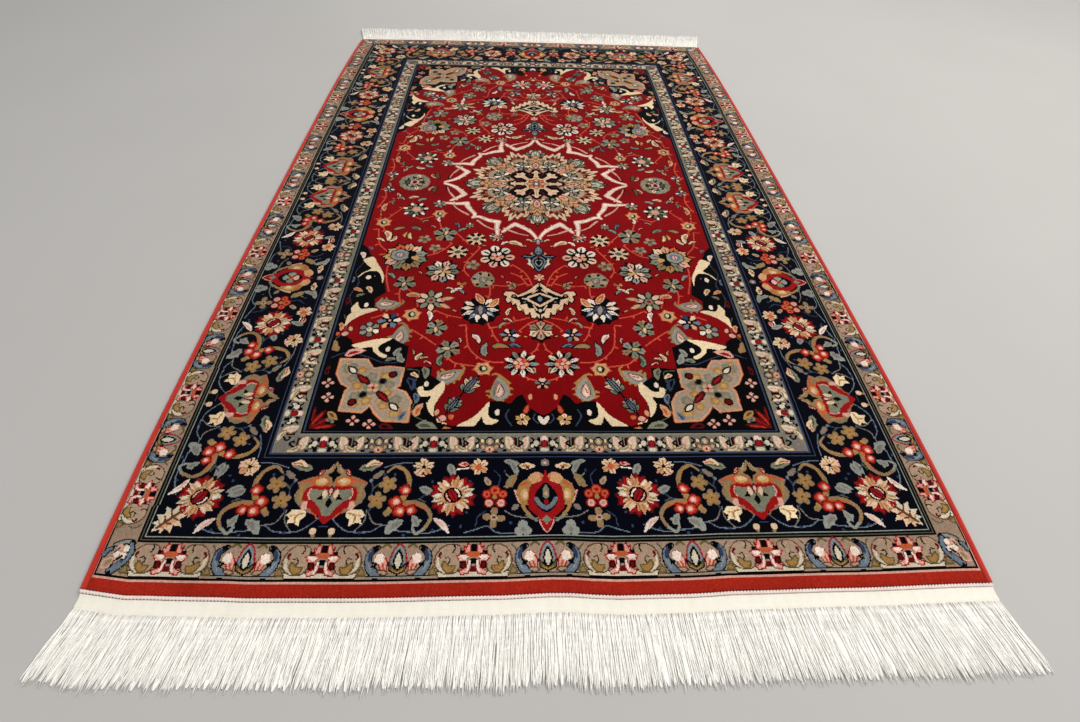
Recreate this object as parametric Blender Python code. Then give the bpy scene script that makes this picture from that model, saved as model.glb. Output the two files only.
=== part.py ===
"""A hand-knotted floor rug, lying flat: pile cloth, overcast sides, twined end cords and fringed ends."""
import math
import random

import bmesh
import bpy

# Driving sizes, in metres. X runs across the rug, Y along it and Z up from the floor.
CLOTH_LENGTH = 1.630        # pile cloth, from end to end along the middle line
RUG_WIDTH = 1.042           # over both overcast sides, at mid length
CORNER_NARROWING = 0.029    # how much narrower the rug is across its two ends
CLOTH_THICKNESS = 0.008     # woven foundation and clipped pile together
RIM_ROUNDING = 0.0016       # the clipped pile leans back that far along the rim
SELVEDGE_WIDTH = 0.008
SELVEDGE_HEIGHT = 0.0074
END_CORD_WIDTH = 0.005
END_CORD_HEIGHT = 0.0044
STRIP_DEPTH = 0.0155        # flat-woven strip, from the end cord to the roots of the fringe
STRIP_HEIGHT = 0.0024
STRIP_SIDE_INSET = 0.001    # the strip is that much narrower than the rug on each side
STRAND_COUNT = 146          # fringe strands on each end
STRAND_LENGTH = 0.070
STRAND_RAGGEDNESS = 0.004   # the strands' lengths differ by up to that much
FAN_SLOPE = 0.24            # sideways run of the outermost strands for each metre of length
SWAY_WAVE = 0.0006          # how far a strand bends sideways, together with its neighbours
SWAY_WAVE_TURNS = 3.7       # bends of that kind from the middle of an end to its corner
SWAY_ALONE = 0.0003         # the same, for each strand by itself
GAP = 0.0003                # clearance between neighbouring pieces

# How far each end's edge stands out past a straight line, in millimetres, by the place across
# the rug, which runs from -1 at the left side to 1 at the right.
NEAR_WAVE = (
    # across, out
    (-1.00, -11.5),
    (-0.90, -4.0),
    (-0.74, -1.6),
    (-0.62, 0.6),
    (-0.40, 1.6),
    (-0.12, 0.4),
    (0.02, -2.0),
    (0.15, 1.6),
    (0.30, 0.7),
    (0.43, -2.2),
    (0.65, -4.0),
    (1.00, -8.0),
)
FAR_WAVE = (
    # across, out
    (-1.00, -5.5),
    (-0.50, 0.8),
    (0.00, 0.4),
    (0.50, -2.0),
    (1.00, -6.8),
)
WAVES = {-1: NEAR_WAVE, 1: FAR_WAVE}

# A strand's section at four places along it: along, width and height in millimetres.
STRAND_SECTIONS = (
    # along, width, height
    (0.00, 4.2, 2.4),
    (0.50, 3.5, 2.2),
    (1.00, 1.6, 1.3),
)

END_STEPS = 40              # straight runs between the stations of an end's wave
CREASE_ANGLE = math.radians(50.0)   # cords are shaded smooth over edges flatter than that
SIDE_STEPS = 24
CORD_SIDES = 8
BULGE_POWER = 4             # how late the sides draw in towards the corners

# Base colour, roughness.
FINISHES = {
    "pile": ((0.30, 0.012, 0.014), 0.95),
    "red_wool": ((0.47, 0.035, 0.012), 0.90),
    "twine": ((0.62, 0.47, 0.45), 0.90),
    "cotton": ((0.78, 0.74, 0.64), 0.92),
}


def clear_scene():
    for item in list(bpy.data.objects):
        bpy.data.objects.remove(item, do_unlink=True)


def make_material(name):
    colour, roughness = FINISHES[name]
    material = bpy.data.materials.new(name)
    material.use_nodes = True
    shader = material.node_tree.nodes["Principled BSDF"]
    shader.inputs["Base Color"].default_value = (*colour, 1.0)
    shader.inputs["Roughness"].default_value = roughness
    shader.inputs["Metallic"].default_value = 0.0
    return material


def half_width(y):
    """Half of the rug's width, overcast sides included, at a place along it."""
    along = min(abs(2.0 * y / CLOTH_LENGTH), 1.0)
    return 0.5 * (RUG_WIDTH - CORNER_NARROWING * along ** BULGE_POWER)


def cloth_half_width(y):
    return half_width(y) - SELVEDGE_WIDTH - GAP


def spread(low, high, steps):
    return [low + (high - low) * step / steps for step in range(steps + 1)]


def table_out(end, across):
    """An end's outward shift, eased smoothly from row to row of its table."""
    rows = WAVES[end]
    for (low, low_out), (high, high_out) in zip(rows, rows[1:]):
        if across <= high:
            share = (across - low) / (high - low)
            eased = 0.5 - 0.5 * math.cos(math.pi * share)
            return 0.001 * (low_out + (high_out - low_out) * eased)
    return 0.001 * rows[-1][1]


def end_line(end, x, out=0.0):
    """The Y of an end's edge at x, moved outward by out: straight runs between the end's stations."""
    place = (x / half_width(0.5 * CLOTH_LENGTH) + 1.0) * 0.5 * END_STEPS
    station = min(max(int(place), 0), END_STEPS - 1)
    before = table_out(end, 2.0 * station / END_STEPS - 1.0)
    after = table_out(end, 2.0 * (station + 1) / END_STEPS - 1.0)
    shift = before + (after - before) * (place - station)
    return end * (0.5 * CLOTH_LENGTH + shift + out)


def end_stations(limit):
    """The X of each station along an end, from -limit to limit."""
    corner_x = half_width(0.5 * CLOTH_LENGTH)
    return [-limit] + spread(-corner_x, corner_x, END_STEPS)[1:-1] + [limit]


def cloth_outline(inset):
    """The pile cloth's outline, anticlockwise from its near left corner, drawn in by inset."""
    corner_x = cloth_half_width(0.5 * CLOTH_LENGTH) - inset
    near_end = [(x, end_line(-1, x, -inset)) for x in end_stations(corner_x)]
    far_end = [(x, end_line(1, x, -inset)) for x in reversed(end_stations(corner_x))]
    right_side = []
    for y in spread(near_end[-1][1], far_end[0][1], SIDE_STEPS)[1:-1]:
        right_side.append((cloth_half_width(y) - inset, y))
    left_side = []
    for y in spread(far_end[-1][1], near_end[0][1], SIDE_STEPS)[1:-1]:
        left_side.append((inset - cloth_half_width(y), y))
    return near_end + right_side + far_end + left_side


def object_from_mesh(name, mesh_data, material, smooth_angle=None):
    bmesh.ops.recalc_face_normals(mesh_data, faces=mesh_data.faces)
    mesh = bpy.data.meshes.new(name)
    mesh_data.to_mesh(mesh)
    mesh_data.free()
    mesh.materials.append(material)
    if smooth_angle is not None:
        mesh.shade_smooth()
        mesh.set_sharp_from_angle(angle=smooth_angle)
    piece = bpy.data.objects.new(name, mesh)
    bpy.context.scene.collection.objects.link(piece)
    return piece


def loft(name, rings, material, smooth_angle=None):
    """A closed solid through rings of points, with a flat face over each end ring."""
    mesh_data = bmesh.new()
    rows = [[mesh_data.verts.new(point) for point in ring] for ring in rings]
    for row, following in zip(rows, rows[1:]):
        for index in range(len(row)):
            after = (index + 1) % len(row)
            mesh_data.faces.new((row[index], row[after], following[after], following[index]))
    mesh_data.faces.new(rows[0])
    mesh_data.faces.new(rows[-1])
    return object_from_mesh(name, mesh_data, material, smooth_angle)


def make_cloth(material):
    """The knotted cloth: one flat slab with a slightly rounded upper rim."""
    levels = (
        # height, inset
        (0.0, 0.0),
        (CLOTH_THICKNESS - RIM_ROUNDING, 0.0),
        (CLOTH_THICKNESS - 0.3 * RIM_ROUNDING, 0.4 * RIM_ROUNDING),
        (CLOTH_THICKNESS, RIM_ROUNDING),
    )
    rings = []
    for height, inset in levels:
        rings.append([(x, y, height) for x, y in cloth_outline(inset)])
    return loft("rug_cloth", rings, material)


def cord_section(width, height):
    """Sideways and upward offsets around a cord that rests on a flat of its section."""
    points = []
    reach = math.cos(math.pi / CORD_SIDES)
    for side in range(CORD_SIDES):
        turn = 2.0 * math.pi * (side + 0.5) / CORD_SIDES
        sideways = 0.5 * width * math.cos(turn) / reach
        upward = 0.5 * height * (1.0 + math.sin(turn) / reach)
        points.append((sideways, upward))
    return points


def make_selvedge(name, side, material):
    """The wool-wrapped cord along one long side."""
    corner_x = side * half_width(0.5 * CLOTH_LENGTH)
    rings = []
    for y in spread(end_line(-1, corner_x), end_line(1, corner_x), SIDE_STEPS):
        middle = side * (half_width(y) - 0.5 * SELVEDGE_WIDTH)
        section = cord_section(SELVEDGE_WIDTH, SELVEDGE_HEIGHT)
        rings.append([(middle + sideways, y, upward) for sideways, upward in section])
    return loft(name, rings, material, CREASE_ANGLE)


def make_end_cord(name, end, material):
    """The twined cord that closes one end of the pile, over the full width of the rug."""
    corner_x = half_width(0.5 * CLOTH_LENGTH)
    rings = []
    for x in end_stations(corner_x):
        middle = end_line(end, x, GAP + 0.5 * END_CORD_WIDTH)
        section = cord_section(END_CORD_WIDTH, END_CORD_HEIGHT)
        rings.append([(x, middle + sideways, upward) for sideways, upward in section])
    return loft(name, rings, material, CREASE_ANGLE)


def strand_centres():
    reach = half_width(0.5 * CLOTH_LENGTH) - STRIP_SIDE_INSET
    pitch = 2.0 * reach / STRAND_COUNT
    return [-reach + pitch * (index + 0.5) for index in range(STRAND_COUNT)]


def strand_rings(end, root_x, draw):
    """Four-sided sections of one strand, from its root to its tip, all resting on the floor."""
    reach = half_width(0.5 * CLOTH_LENGTH)
    across = root_x / reach
    length = STRAND_LENGTH + STRAND_RAGGEDNESS * draw.uniform(-1.0, 1.0)
    root_y = end_line(end, root_x, 2.0 * GAP + END_CORD_WIDTH + STRIP_DEPTH)
    sway = SWAY_WAVE * math.sin(2.0 * math.pi * SWAY_WAVE_TURNS * across)
    sway += SWAY_ALONE * draw.uniform(-1.0, 1.0)
    rings = []
    for along, width_mm, height_mm in STRAND_SECTIONS:
        middle = root_x + FAN_SLOPE * across * length * along + sway * math.sin(math.pi * along)
        y = root_y + end * length * along
        half = 0.0005 * width_mm
        height = 0.001 * height_mm
        rings.append(((middle - half, y, 0.0), (middle + half, y, 0.0),
                      (middle + half, y, height), (middle - half, y, height)))
    return rings


def nearest(points, x):
    """The index of the rim point that lies nearest to x across the rug."""
    return min(range(len(points)), key=lambda index: abs(points[index][0].co.x - x))


def make_fringe(name, end, material, seed):
    """A flat-woven end strip with the fringe strands growing out of its outer face."""
    draw = random.Random(seed)
    mesh_data = bmesh.new()
    reach = half_width(0.5 * CLOTH_LENGTH) - STRIP_SIDE_INSET
    inner = 2.0 * GAP + END_CORD_WIDTH

    def pair(x, y):
        """A lower and an upper point of the strip's rim."""
        return mesh_data.verts.new((x, y, 0.0)), mesh_data.verts.new((x, y, STRIP_HEIGHT))

    front = [pair(-reach, end_line(end, -reach, inner + STRIP_DEPTH))]
    for root_x in strand_centres():
        rings = strand_rings(end, root_x, draw)
        rows = [[mesh_data.verts.new(point) for point in ring] for ring in rings]
        for row, following in zip(rows, rows[1:]):
            for index in range(4):
                after = (index + 1) % 4
                mesh_data.faces.new((row[index], row[after], following[after], following[index]))
        mesh_data.faces.new(rows[-1])
        left_low, right_low, right_high, left_high = rows[0]
        before = front[-1]
        mesh_data.faces.new((before[0], left_low, left_high, before[1]))
        front.append((left_low, left_high))
        front.append((right_low, right_high))
    front.append(pair(reach, end_line(end, reach, inner + STRIP_DEPTH)))
    before, last = front[-2], front[-1]
    mesh_data.faces.new((before[0], last[0], last[1], before[1]))

    back = [pair(x, end_line(end, x, inner)) for x in end_stations(reach)]
    front_at = [nearest(front, point[0].co.x) for point in back]
    for place, (start, stop) in enumerate(zip(front_at, front_at[1:])):
        for level in (0, 1):
            rim = [point[level] for point in front[start:stop + 1]]
            mesh_data.faces.new(rim + [back[place + 1][level], back[place][level]])
        mesh_data.faces.new((back[place][0], back[place + 1][0], back[place + 1][1], back[place][1]))
    for corner in (0, -1):
        mesh_data.faces.new((front[corner][0], back[corner][0], back[corner][1], front[corner][1]))
    return object_from_mesh(name, mesh_data, material)


def make_rug():
    materials = {name: make_material(name) for name in FINISHES}
    pieces = [
        make_cloth(materials["pile"]),
        make_selvedge("selvedge_left", -1, materials["red_wool"]),
        make_selvedge("selvedge_right", 1, materials["red_wool"]),
        make_end_cord("end_cord_near", -1, materials["twine"]),
        make_end_cord("end_cord_far", 1, materials["twine"]),
        make_fringe("fringe_near", -1, materials["cotton"], 11),
        make_fringe("fringe_far", 1, materials["cotton"], 12),
    ]
    origin = bpy.data.objects.new("rug_origin", None)
    bpy.context.scene.collection.objects.link(origin)
    for piece in pieces:
        piece.parent = origin


clear_scene()
make_rug()
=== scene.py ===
"""The looks of a hand-knotted medallion rug: pile and pattern, back, sides, end cords and fringes."""
import math

import bmesh
import bpy
import numpy as np
from mathutils import Matrix, Vector


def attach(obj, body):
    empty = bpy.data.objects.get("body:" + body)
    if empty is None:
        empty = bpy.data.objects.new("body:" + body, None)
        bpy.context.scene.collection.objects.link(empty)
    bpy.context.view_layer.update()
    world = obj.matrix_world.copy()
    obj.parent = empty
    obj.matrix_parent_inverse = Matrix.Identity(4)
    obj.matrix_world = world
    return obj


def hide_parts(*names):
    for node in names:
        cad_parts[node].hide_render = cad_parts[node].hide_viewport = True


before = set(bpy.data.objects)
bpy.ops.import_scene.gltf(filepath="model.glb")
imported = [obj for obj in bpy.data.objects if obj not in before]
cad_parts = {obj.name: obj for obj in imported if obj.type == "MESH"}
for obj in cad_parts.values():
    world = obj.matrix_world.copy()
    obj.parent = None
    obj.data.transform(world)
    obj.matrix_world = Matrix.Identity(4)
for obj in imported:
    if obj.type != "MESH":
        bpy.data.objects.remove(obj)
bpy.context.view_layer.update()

# Driving sizes of the rug, in metres, as in the part's source. X runs across the rug, Y along it, Z up.
CLOTH_LENGTH = 1.630
RUG_WIDTH = 1.042
CORNER_NARROWING = 0.029
BULGE_POWER = 4
CLOTH_THICKNESS = 0.008
SELVEDGE_WIDTH = 0.008
SELVEDGE_HEIGHT = 0.0074
END_CORD_WIDTH = 0.005
STRIP_DEPTH = 0.0155
STRIP_HEIGHT = 0.0024
STRIP_SIDE_INSET = 0.001
STRAND_COUNT = 146
STRAND_LENGTH = 0.070
FAN_SLOPE = 0.24
GAP = 0.0003
END_STEPS = 40

# How far each end's edge stands out past a straight line, in millimetres, by the place across
# the rug, which runs from -1 at the left side to 1 at the right.
NEAR_WAVE = (
    # across, out
    (-1.00, -11.5), (-0.90, -4.0), (-0.74, -1.6), (-0.62, 0.6), (-0.40, 1.6), (-0.12, 0.4),
    (0.02, -2.0), (0.15, 1.6), (0.30, 0.7), (0.43, -2.2), (0.65, -4.0), (1.00, -8.0),
)
FAR_WAVE = (
    # across, out
    (-1.00, -5.5), (-0.50, 0.8), (0.00, 0.4), (0.50, -2.0), (1.00, -6.8),
)


def eased(table, across):
    """A table's second column at each place across, eased smoothly from row to row."""
    places, shifts = np.array(table).T
    row = np.clip(np.searchsorted(places, across, side="left") - 1, 0, len(places) - 2)
    share = (across - places[row]) / (places[row + 1] - places[row])
    return shifts[row] + (shifts[row + 1] - shifts[row]) * (0.5 - 0.5 * np.cos(math.pi * share))


STATIONS = np.linspace(-1.0, 1.0, END_STEPS + 1)
END_WAVES = {-1: 0.001 * eased(NEAR_WAVE, STATIONS), 1: 0.001 * eased(FAR_WAVE, STATIONS)}


def half_width(y):
    """Half of the rug's width, overcast sides included, at places along it."""
    along = np.minimum(np.abs(2.0 * y / CLOTH_LENGTH), 1.0)
    return 0.5 * (RUG_WIDTH - CORNER_NARROWING * along ** BULGE_POWER)


CORNER_X = float(half_width(0.5 * CLOTH_LENGTH))


def end_line(end, x, out=0.0):
    """The Y of an end's edge at places across it, moved outward by out."""
    return end * (0.5 * CLOTH_LENGTH + np.interp(x / CORNER_X, STATIONS, END_WAVES[end]) + out)


# The pattern is charted for one quarter of the rug, in millimetres from the medallion's middle:
# x outward to the long side, y outward to the near end. The other quarters mirror it.
KNOT = 1.3                    # one knot of the pile
HALF_WIDTH = 521.0            # middle to the outside of the overcast side
HALF_LENGTH = 835.0           # middle to the near end of the pile
THIN = 1.5                    # outlines of one knot, and of one or two
LINE = 2.0
STROKE_RIM = 1.6              # the outline on each side of a stroke
OPEN_STEPS = 7                # points between two given ones, on a stroke and on a rounded outline
CLOSED_STEPS = 3

# The dyes, as they look in daylight.
DYES = {
    # name: red, green, blue
    "crimson": (131, 7, 12),
    "scarlet": (178, 43, 28),
    "red": (150, 19, 22),
    "coral": (204, 80, 58),
    "maroon": (92, 16, 18),
    "orange": (196, 92, 54),
    "pink": (218, 162, 144),
    "peach": (210, 152, 114),
    "white": (238, 218, 202),
    "cream": (228, 194, 160),
    "straw": (236, 210, 170),
    "ivory": (212, 200, 174),
    "gold": (200, 157, 96),
    "ochre": (170, 126, 72),
    "tan": (144, 116, 82),
    "brown": (92, 62, 42),
    "olive": (98, 86, 46),
    "sage": (128, 128, 106),
    "moss": (78, 82, 68),
    "grey": (142, 144, 134),
    "steel": (104, 118, 132),
    "slate": (52, 62, 88),
    "beige": (171, 144, 120),
    "stone": (124, 117, 110),
    "fawn": (159, 133, 112),
    "navy": (4, 5, 16),
    "black": (5, 4, 6),
}
INK = {name: index for index, name in enumerate(DYES)}


class Chart:
    """A sheet of knots that is drawn on, later shapes over earlier ones."""

    def __init__(self, width, length):
        self.x = (np.arange(round(width / KNOT)) + 0.5) * KNOT
        self.y = (np.arange(math.ceil(length / KNOT)) + 0.5) * KNOT
        self.knots = np.zeros((len(self.y), len(self.x)), np.uint8)

    def window(self, low, high):
        """The knots in a box, as slices and as places."""
        columns = slice(*np.searchsorted(self.x, (low[0], high[0])))
        rows = slice(*np.searchsorted(self.y, (low[1], high[1])))
        x, y = np.meshgrid(self.x[columns], self.y[rows])
        return (rows, columns), x, y


class Pen:
    """Draws on a chart in millimetres, about a middle that can be moved, turned, sized and flipped."""

    def __init__(self, chart, middle=(0.0, 0.0), axes=((1.0, 0.0), (0.0, 1.0))):
        self.chart = chart
        self.middle = np.array(middle, float)
        self.axes = np.array(axes, float)

    def at(self, x, y, turn=0.0, size=1.0, wide=1.0, flip=False):
        """A pen about (x, y), turned by degrees; wide stretches it sideways, and flip mirrors it."""
        angle = math.radians(turn)
        across = np.array((math.cos(angle), math.sin(angle))) * size * wide * (-1.0 if flip else 1.0)
        along = np.array((-math.sin(angle), math.cos(angle))) * size
        middle = self.middle + np.array((x, y)) @ self.axes
        return Pen(self.chart, middle, np.array((across, along)) @ self.axes)

    def both(self):
        """This pen and its mirror image."""
        return self, Pen(self.chart, self.middle, self.axes * ((-1.0,), (1.0,)))

    def around(self, count, turn=0.0, reach=0.0):
        """Pens turned about this one's middle, each facing outward along its own y."""
        for index in range(count):
            angle = turn + 360.0 * index / count
            step = math.radians(angle)
            yield self.at(-reach * math.sin(step), reach * math.cos(step), angle)

    def place(self, points):
        """Points of this pen, as places on the chart."""
        return np.asarray(points, float) @ self.axes + self.middle

    def fill(self, points, ink, edge=None, edge_width=THIN):
        """A filled outline, with a line of another ink along its rim."""
        points = self.place(points)
        where, x, y = self.chart.window(points.min(0), points.max(0))
        inside = np.zeros(x.shape, bool)
        for (x0, y0), (x1, y1) in zip(points, np.roll(points, -1, 0)):
            if y0 != y1:
                crosses = (y0 > y) != (y1 > y)
                inside ^= crosses & (x < (x1 - x0) * (y - y0) / (y1 - y0) + x0)
        self.chart.knots[where][inside] = INK[ink]
        if edge:
            self.draw(np.vstack((points, points[:1])), edge_width, edge)

    def draw(self, points, width, ink):
        """A line through places on the chart, as wide at its start and end as width says."""
        start, stop = width if isinstance(width, tuple) else (width, width)
        reach = 0.5 * max(start, stop)
        where, x, y = self.chart.window(points.min(0) - reach, points.max(0) + reach)
        if not x.size:
            return
        hit = np.zeros(x.shape, bool)
        spans = len(points) - 1
        for index in range(spans):
            (x0, y0), (x1, y1) = points[index], points[index + 1]
            run = max((x1 - x0) ** 2 + (y1 - y0) ** 2, 1e-9)
            along = np.clip(((x - x0) * (x1 - x0) + (y - y0) * (y1 - y0)) / run, 0.0, 1.0)
            away = (x - x0 - along * (x1 - x0)) ** 2 + (y - y0 - along * (y1 - y0)) ** 2
            half = 0.5 * (start + (stop - start) * (index + along) / spans)
            hit |= away <= half ** 2
        self.chart.knots[where][hit] = INK[ink]

    def line(self, points, ink, width, edge=None):
        """A smooth stroke through the points, which may taper and may be outlined."""
        points = self.place(smooth(points))
        if edge:
            start, stop = width if isinstance(width, tuple) else (width, width)
            self.draw(points, (start + 2.0 * STROKE_RIM, stop + 2.0 * STROKE_RIM), edge)
        self.draw(points, width, ink)


def smooth(points, closed=False):
    """A smooth curve through a few points."""
    points = np.asarray(points, float)
    if len(points) < 3:
        return points
    count = len(points)
    steps = CLOSED_STEPS if closed else OPEN_STEPS
    curve = []
    for index in range(count if closed else count - 1):
        if closed:
            a, b, c, d = (points[(index + shift) % count] for shift in (-1, 0, 1, 2))
        else:
            a, b, c, d = (points[min(max(index + shift, 0), count - 1)] for shift in (-1, 0, 1, 2))
        for t in np.arange(steps) / steps:
            bend = (2 * a - 5 * b + 4 * c - d) * t * t + (3 * b - a - 3 * c + d) * t ** 3
            curve.append(0.5 * (2 * b + (c - a) * t + bend))
    if not closed:
        curve.append(points[-1])
    return np.array(curve)


def rounded(points):
    """A smooth closed outline through a few points."""
    return smooth(points, closed=True)


def even(points):
    """An outline that is the same on both sides, from the points of its right side."""
    return points + [(-x, y) for x, y in reversed(points) if x]


def oval(x, y, wide, high=None):
    """An ellipse with these half sizes."""
    high = wide if high is None else high
    angle = np.radians(np.arange(0, 360, 15))
    return np.stack((x + wide * np.cos(angle), y + high * np.sin(angle)), 1)


def lobed(x, y, radius, lobes, depth, turn=0.0, high=1.0):
    """A round shape with petals: round lobes that meet in sharp notches."""
    angle = np.radians(np.arange(0, 360, 5))
    swell = np.abs(np.cos(0.5 * lobes * (angle - math.radians(turn)))) ** 0.7
    reach = radius * (1.0 - depth * (1.0 - swell))
    return np.stack((x + reach * np.sin(angle), y + high * reach * np.cos(angle)), 1)


def starry(x, y, radius, points, depth, turn=0.0, high=1.0):
    """A star: sharp tips with round hollows between them."""
    angle = np.radians(np.arange(0, 360, 5))
    dip = np.abs(np.sin(0.5 * points * (angle - math.radians(turn)))) ** 0.8
    reach = radius * (1.0 - depth * dip)
    return np.stack((x + reach * np.sin(angle), y + high * reach * np.cos(angle)), 1)


def blade(x0, y0, x1, y1, width, belly=0.45, bend=0.0, teeth=0, bite=0.25):
    """A leaf from its stalk to its tip. Belly is where it is widest, and teeth notch both its edges."""
    stalk, tip = np.array((x0, y0), float), np.array((x1, y1), float)
    run = tip - stalk
    side = np.array((-run[1], run[0]))
    length = math.hypot(*run)
    along = np.linspace(0.0, 1.0, 8 if not teeth else 4 * teeth + 1)
    power = math.log(0.5) / math.log(belly)
    half = 0.5 * width / length * np.sin(math.pi * along ** power) ** 0.8
    if teeth:
        half = half * (1.0 - bite * np.abs(np.cos(math.pi * teeth * along)))
    middle = stalk + along[:, None] * run + (bend * np.sin(math.pi * along))[:, None] * side
    left = middle + half[:, None] * side
    right = middle - half[:, None] * side
    return np.vstack((left, right[::-1]))


def flower(pen, radius, count, inks, core, turn=0.0, core_size=0.3, slim=1.0):
    """A flower of separate oval petals round a core; the inks are used in turn."""
    inks = inks.split()
    width = slim * math.pi * radius * 1.2 / count
    for index, one in enumerate(pen.around(count, turn)):
        one.fill(blade(0, 0.15 * radius, 0, radius, width, 0.62), inks[index % len(inks)])
    pen.fill(oval(0, 0, core_size * radius), core)


# The second tone along the middle of each leaf.
VEINS = {"cream": "ochre", "ivory": "tan", "white": "pink", "pink": "red", "peach": "orange",
         "orange": "gold", "gold": "cream", "ochre": "brown", "tan": "ochre", "sage": "moss",
         "grey": "stone", "steel": "slate", "beige": "tan", "maroon": "black", "olive": "brown",
         "slate": "navy", "stone": "tan"}


def leaf(pen, start, tip, width, ink, edge=None, **shape):
    """A leaf in two tones."""
    start, tip = np.array(start, float), np.array(tip, float)
    pen.fill(blade(*start, *tip, width, **shape), ink, edge)
    run = tip - start
    pen.fill(blade(*(start + 0.12 * run), *(start + 0.72 * run), 0.36 * width,
                   bend=shape.get("bend", 0.0)), VEINS[ink])


# The borders, from the outside in: how far each frame line lies from the middle,
# across the rug and along it.
FRAMES = (
    # across, along, ink
    (521.0, 835.0, "scarlet"),
    (512.9, 821.2, "pink"),
    (511.4, 819.2, "black"),
    (508.6, 816.2, "fawn"),
    (477.0, 775.8, "black"),
    (474.4, 773.2, "moss"),
    (473.0, 771.8, "black"),
    (471.0, 770.0, "grey"),
    (469.2, 768.4, "navy"),
    (363.2, 661.4, "slate"),
    (361.6, 659.8, "black"),
    (357.6, 656.4, "slate"),
    (355.4, 654.2, "stone"),
    (327.4, 626.4, "sage"),
    (325.6, 624.6, "black"),
    (322.0, 622.0, "slate"),
    (319.5, 619.6, "black"),
    (316.5, 616.6, "crimson"),
)
FIELD_WIDTH = 315.5
FIELD_LENGTH = 615.6
BLEED = -20                   # how far frames and field reach past the mirror lines
END_GUARD_PITCH = 86.5        # from one flower of the guard to the next, along the ends and the sides
SIDE_GUARD_PITCH = 79.4
SIDE_GUARD_SIZE = 0.84
END_INNER_PITCH = 72.8
SIDE_INNER_PITCH = 69.5
END_GUARD = 795.0             # middle lines of the borders, along the rug and across it
SIDE_GUARD = 494.5
END_BORDER = 716.0
SIDE_BORDER = 417.0
END_INNER = 641.0
SIDE_INNER = 341.5


def guard_star(pen):
    """A star of pink and white petals between two curled beige leaves."""
    pen.fill(even([(41.5, 14.5), (39.5, 20.4)]), "ivory", "black", 1.3)
    for one in pen.both():
        one.fill([(41, 17.5), (51, 17.5), (49, 12), (46, 8)], "tan", "olive", 1.9)
        one.fill(rounded([(15, -12), (23, -17), (34, -16), (42, -8), (45, 3), (41, 12), (30, 17),
                          (19, 15), (15, 6)]), "beige", "brown", 1.6)
        one.line([(41, -2), (40, 8), (33, 14)], "ivory", 3.6)
        one.line([(24, -17), (22, -13), (24, -8)], "black", 1.8)
        one.line([(38, -7), (40, -4), (38, -1)], "maroon", (3.4, 1.6))
        one.line([(35, 2), (31, 5), (27, 3), (29, -2), (33, -1)], "black", 1.5)
        one.fill(rounded([(21, 8), (27, 8), (33, 3), (36, 8), (31, 15), (24, 15)]), "ochre", "olive", 1.9)
        one.line([(44, -17), (49, -10), (48, -2)], "moss", 1.6)
        one.fill([(10, -10), (16, -10), (17, -4), (12, -4)], "black")
        one.fill([(9, 4), (15, 3), (14, 10), (9, 10)], "maroon", "black")
        one.fill([(3.5, -8), (4, -16), (7.5, -18.5), (9, -12), (12, -15), (10, -6)], "pink", "red", 1.5)
        one.fill([(5, -3), (11, -6), (20, -4), (16, 2), (10, 3)], "white", "red", 1.5)
        one.line([(8, 2), (14, 0), (18, -3)], "pink", 1.6)
        one.fill([(2.8, 1), (6.5, 3), (8, 10), (16, 14), (14, 18), (6, 17), (3, 11)], "pink", "red", 1.5)
        one.line([(4.8, 3), (5.6, 10), (7, 14)], "white", 2.6)
    pen.fill(even([(6.5, -8), (7.5, -4), (4, -1.5)]), "orange")
    pen.fill(even([(3.4, -1), (3.4, 5.5)]), "navy")
    pen.fill(even([(3.2, -17), (3.0, -9)]), "black")
    pen.fill(even([(3, 8), (3, 15)]), "maroon")


def guard_bud(pen):
    """A pointed bud between two tulips and two blue crescent leaves."""
    for one in pen.both():
        one.line([(26, -14), (33, -8), (34, 2), (31, 10), (24, 16)], "steel", (4.5, 8.5), "black")
        one.line([(27, -14), (32, -8), (33, -1)], "slate", (4, 4.6))
        one.line([(28, 3), (30, 8)], "navy", 1.8)
        one.line([(34, 3), (29, 13)], "grey", 1.8)
        one.fill([(25, -17), (31, -16), (30, -10), (25, -11)], "black")
        one.line([(10, -15), (15, -18), (20, -15)], "olive", 3.0)
        one.fill(rounded([(13, 14), (12, 4), (16, -4), (20, -8), (24, -3), (22, 5), (18, 12)]), "pink",
                 "red", 1.5)
        one.fill([(16, -5), (20, -8), (26, -6), (27, 1), (22, 5), (17, 3)], "white")
        one.fill([(23, 4), (28, 3), (26, 9)], "black")
        one.line([(17, 5), (15, 12)], "orange", 2.6)
        one.fill(blade(10, 15, 23, 13, 5), "beige", "brown")
    pen.fill(rounded(even([(0, -19), (6, -13), (9, -3), (9, 5), (0, 12)])), "steel", "red", 1.9)
    for one in pen.both():
        one.line([(0, -16), (5, -8), (7, 2)], "grey", 1.6)
    pen.fill(blade(0, 12, 0, -13, 12, 0.45), "black")
    pen.fill(blade(0, 10, 0, -9, 7, 0.45), "ivory")
    pen.fill(even([(0, 12), (5, 8), (11, 3), (9, 12), (0, 16.5)]), "olive", "black")
    pen.line([(-6, 11), (0, 14.4), (6, 11)], "ochre", 1.8)
    pen.line([(-37, 17.8), (37, 17.8)], "black", 1.4)
    pen.line([(-36, 19.6), (36, 19.6)], "grey", 1.4)


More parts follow.
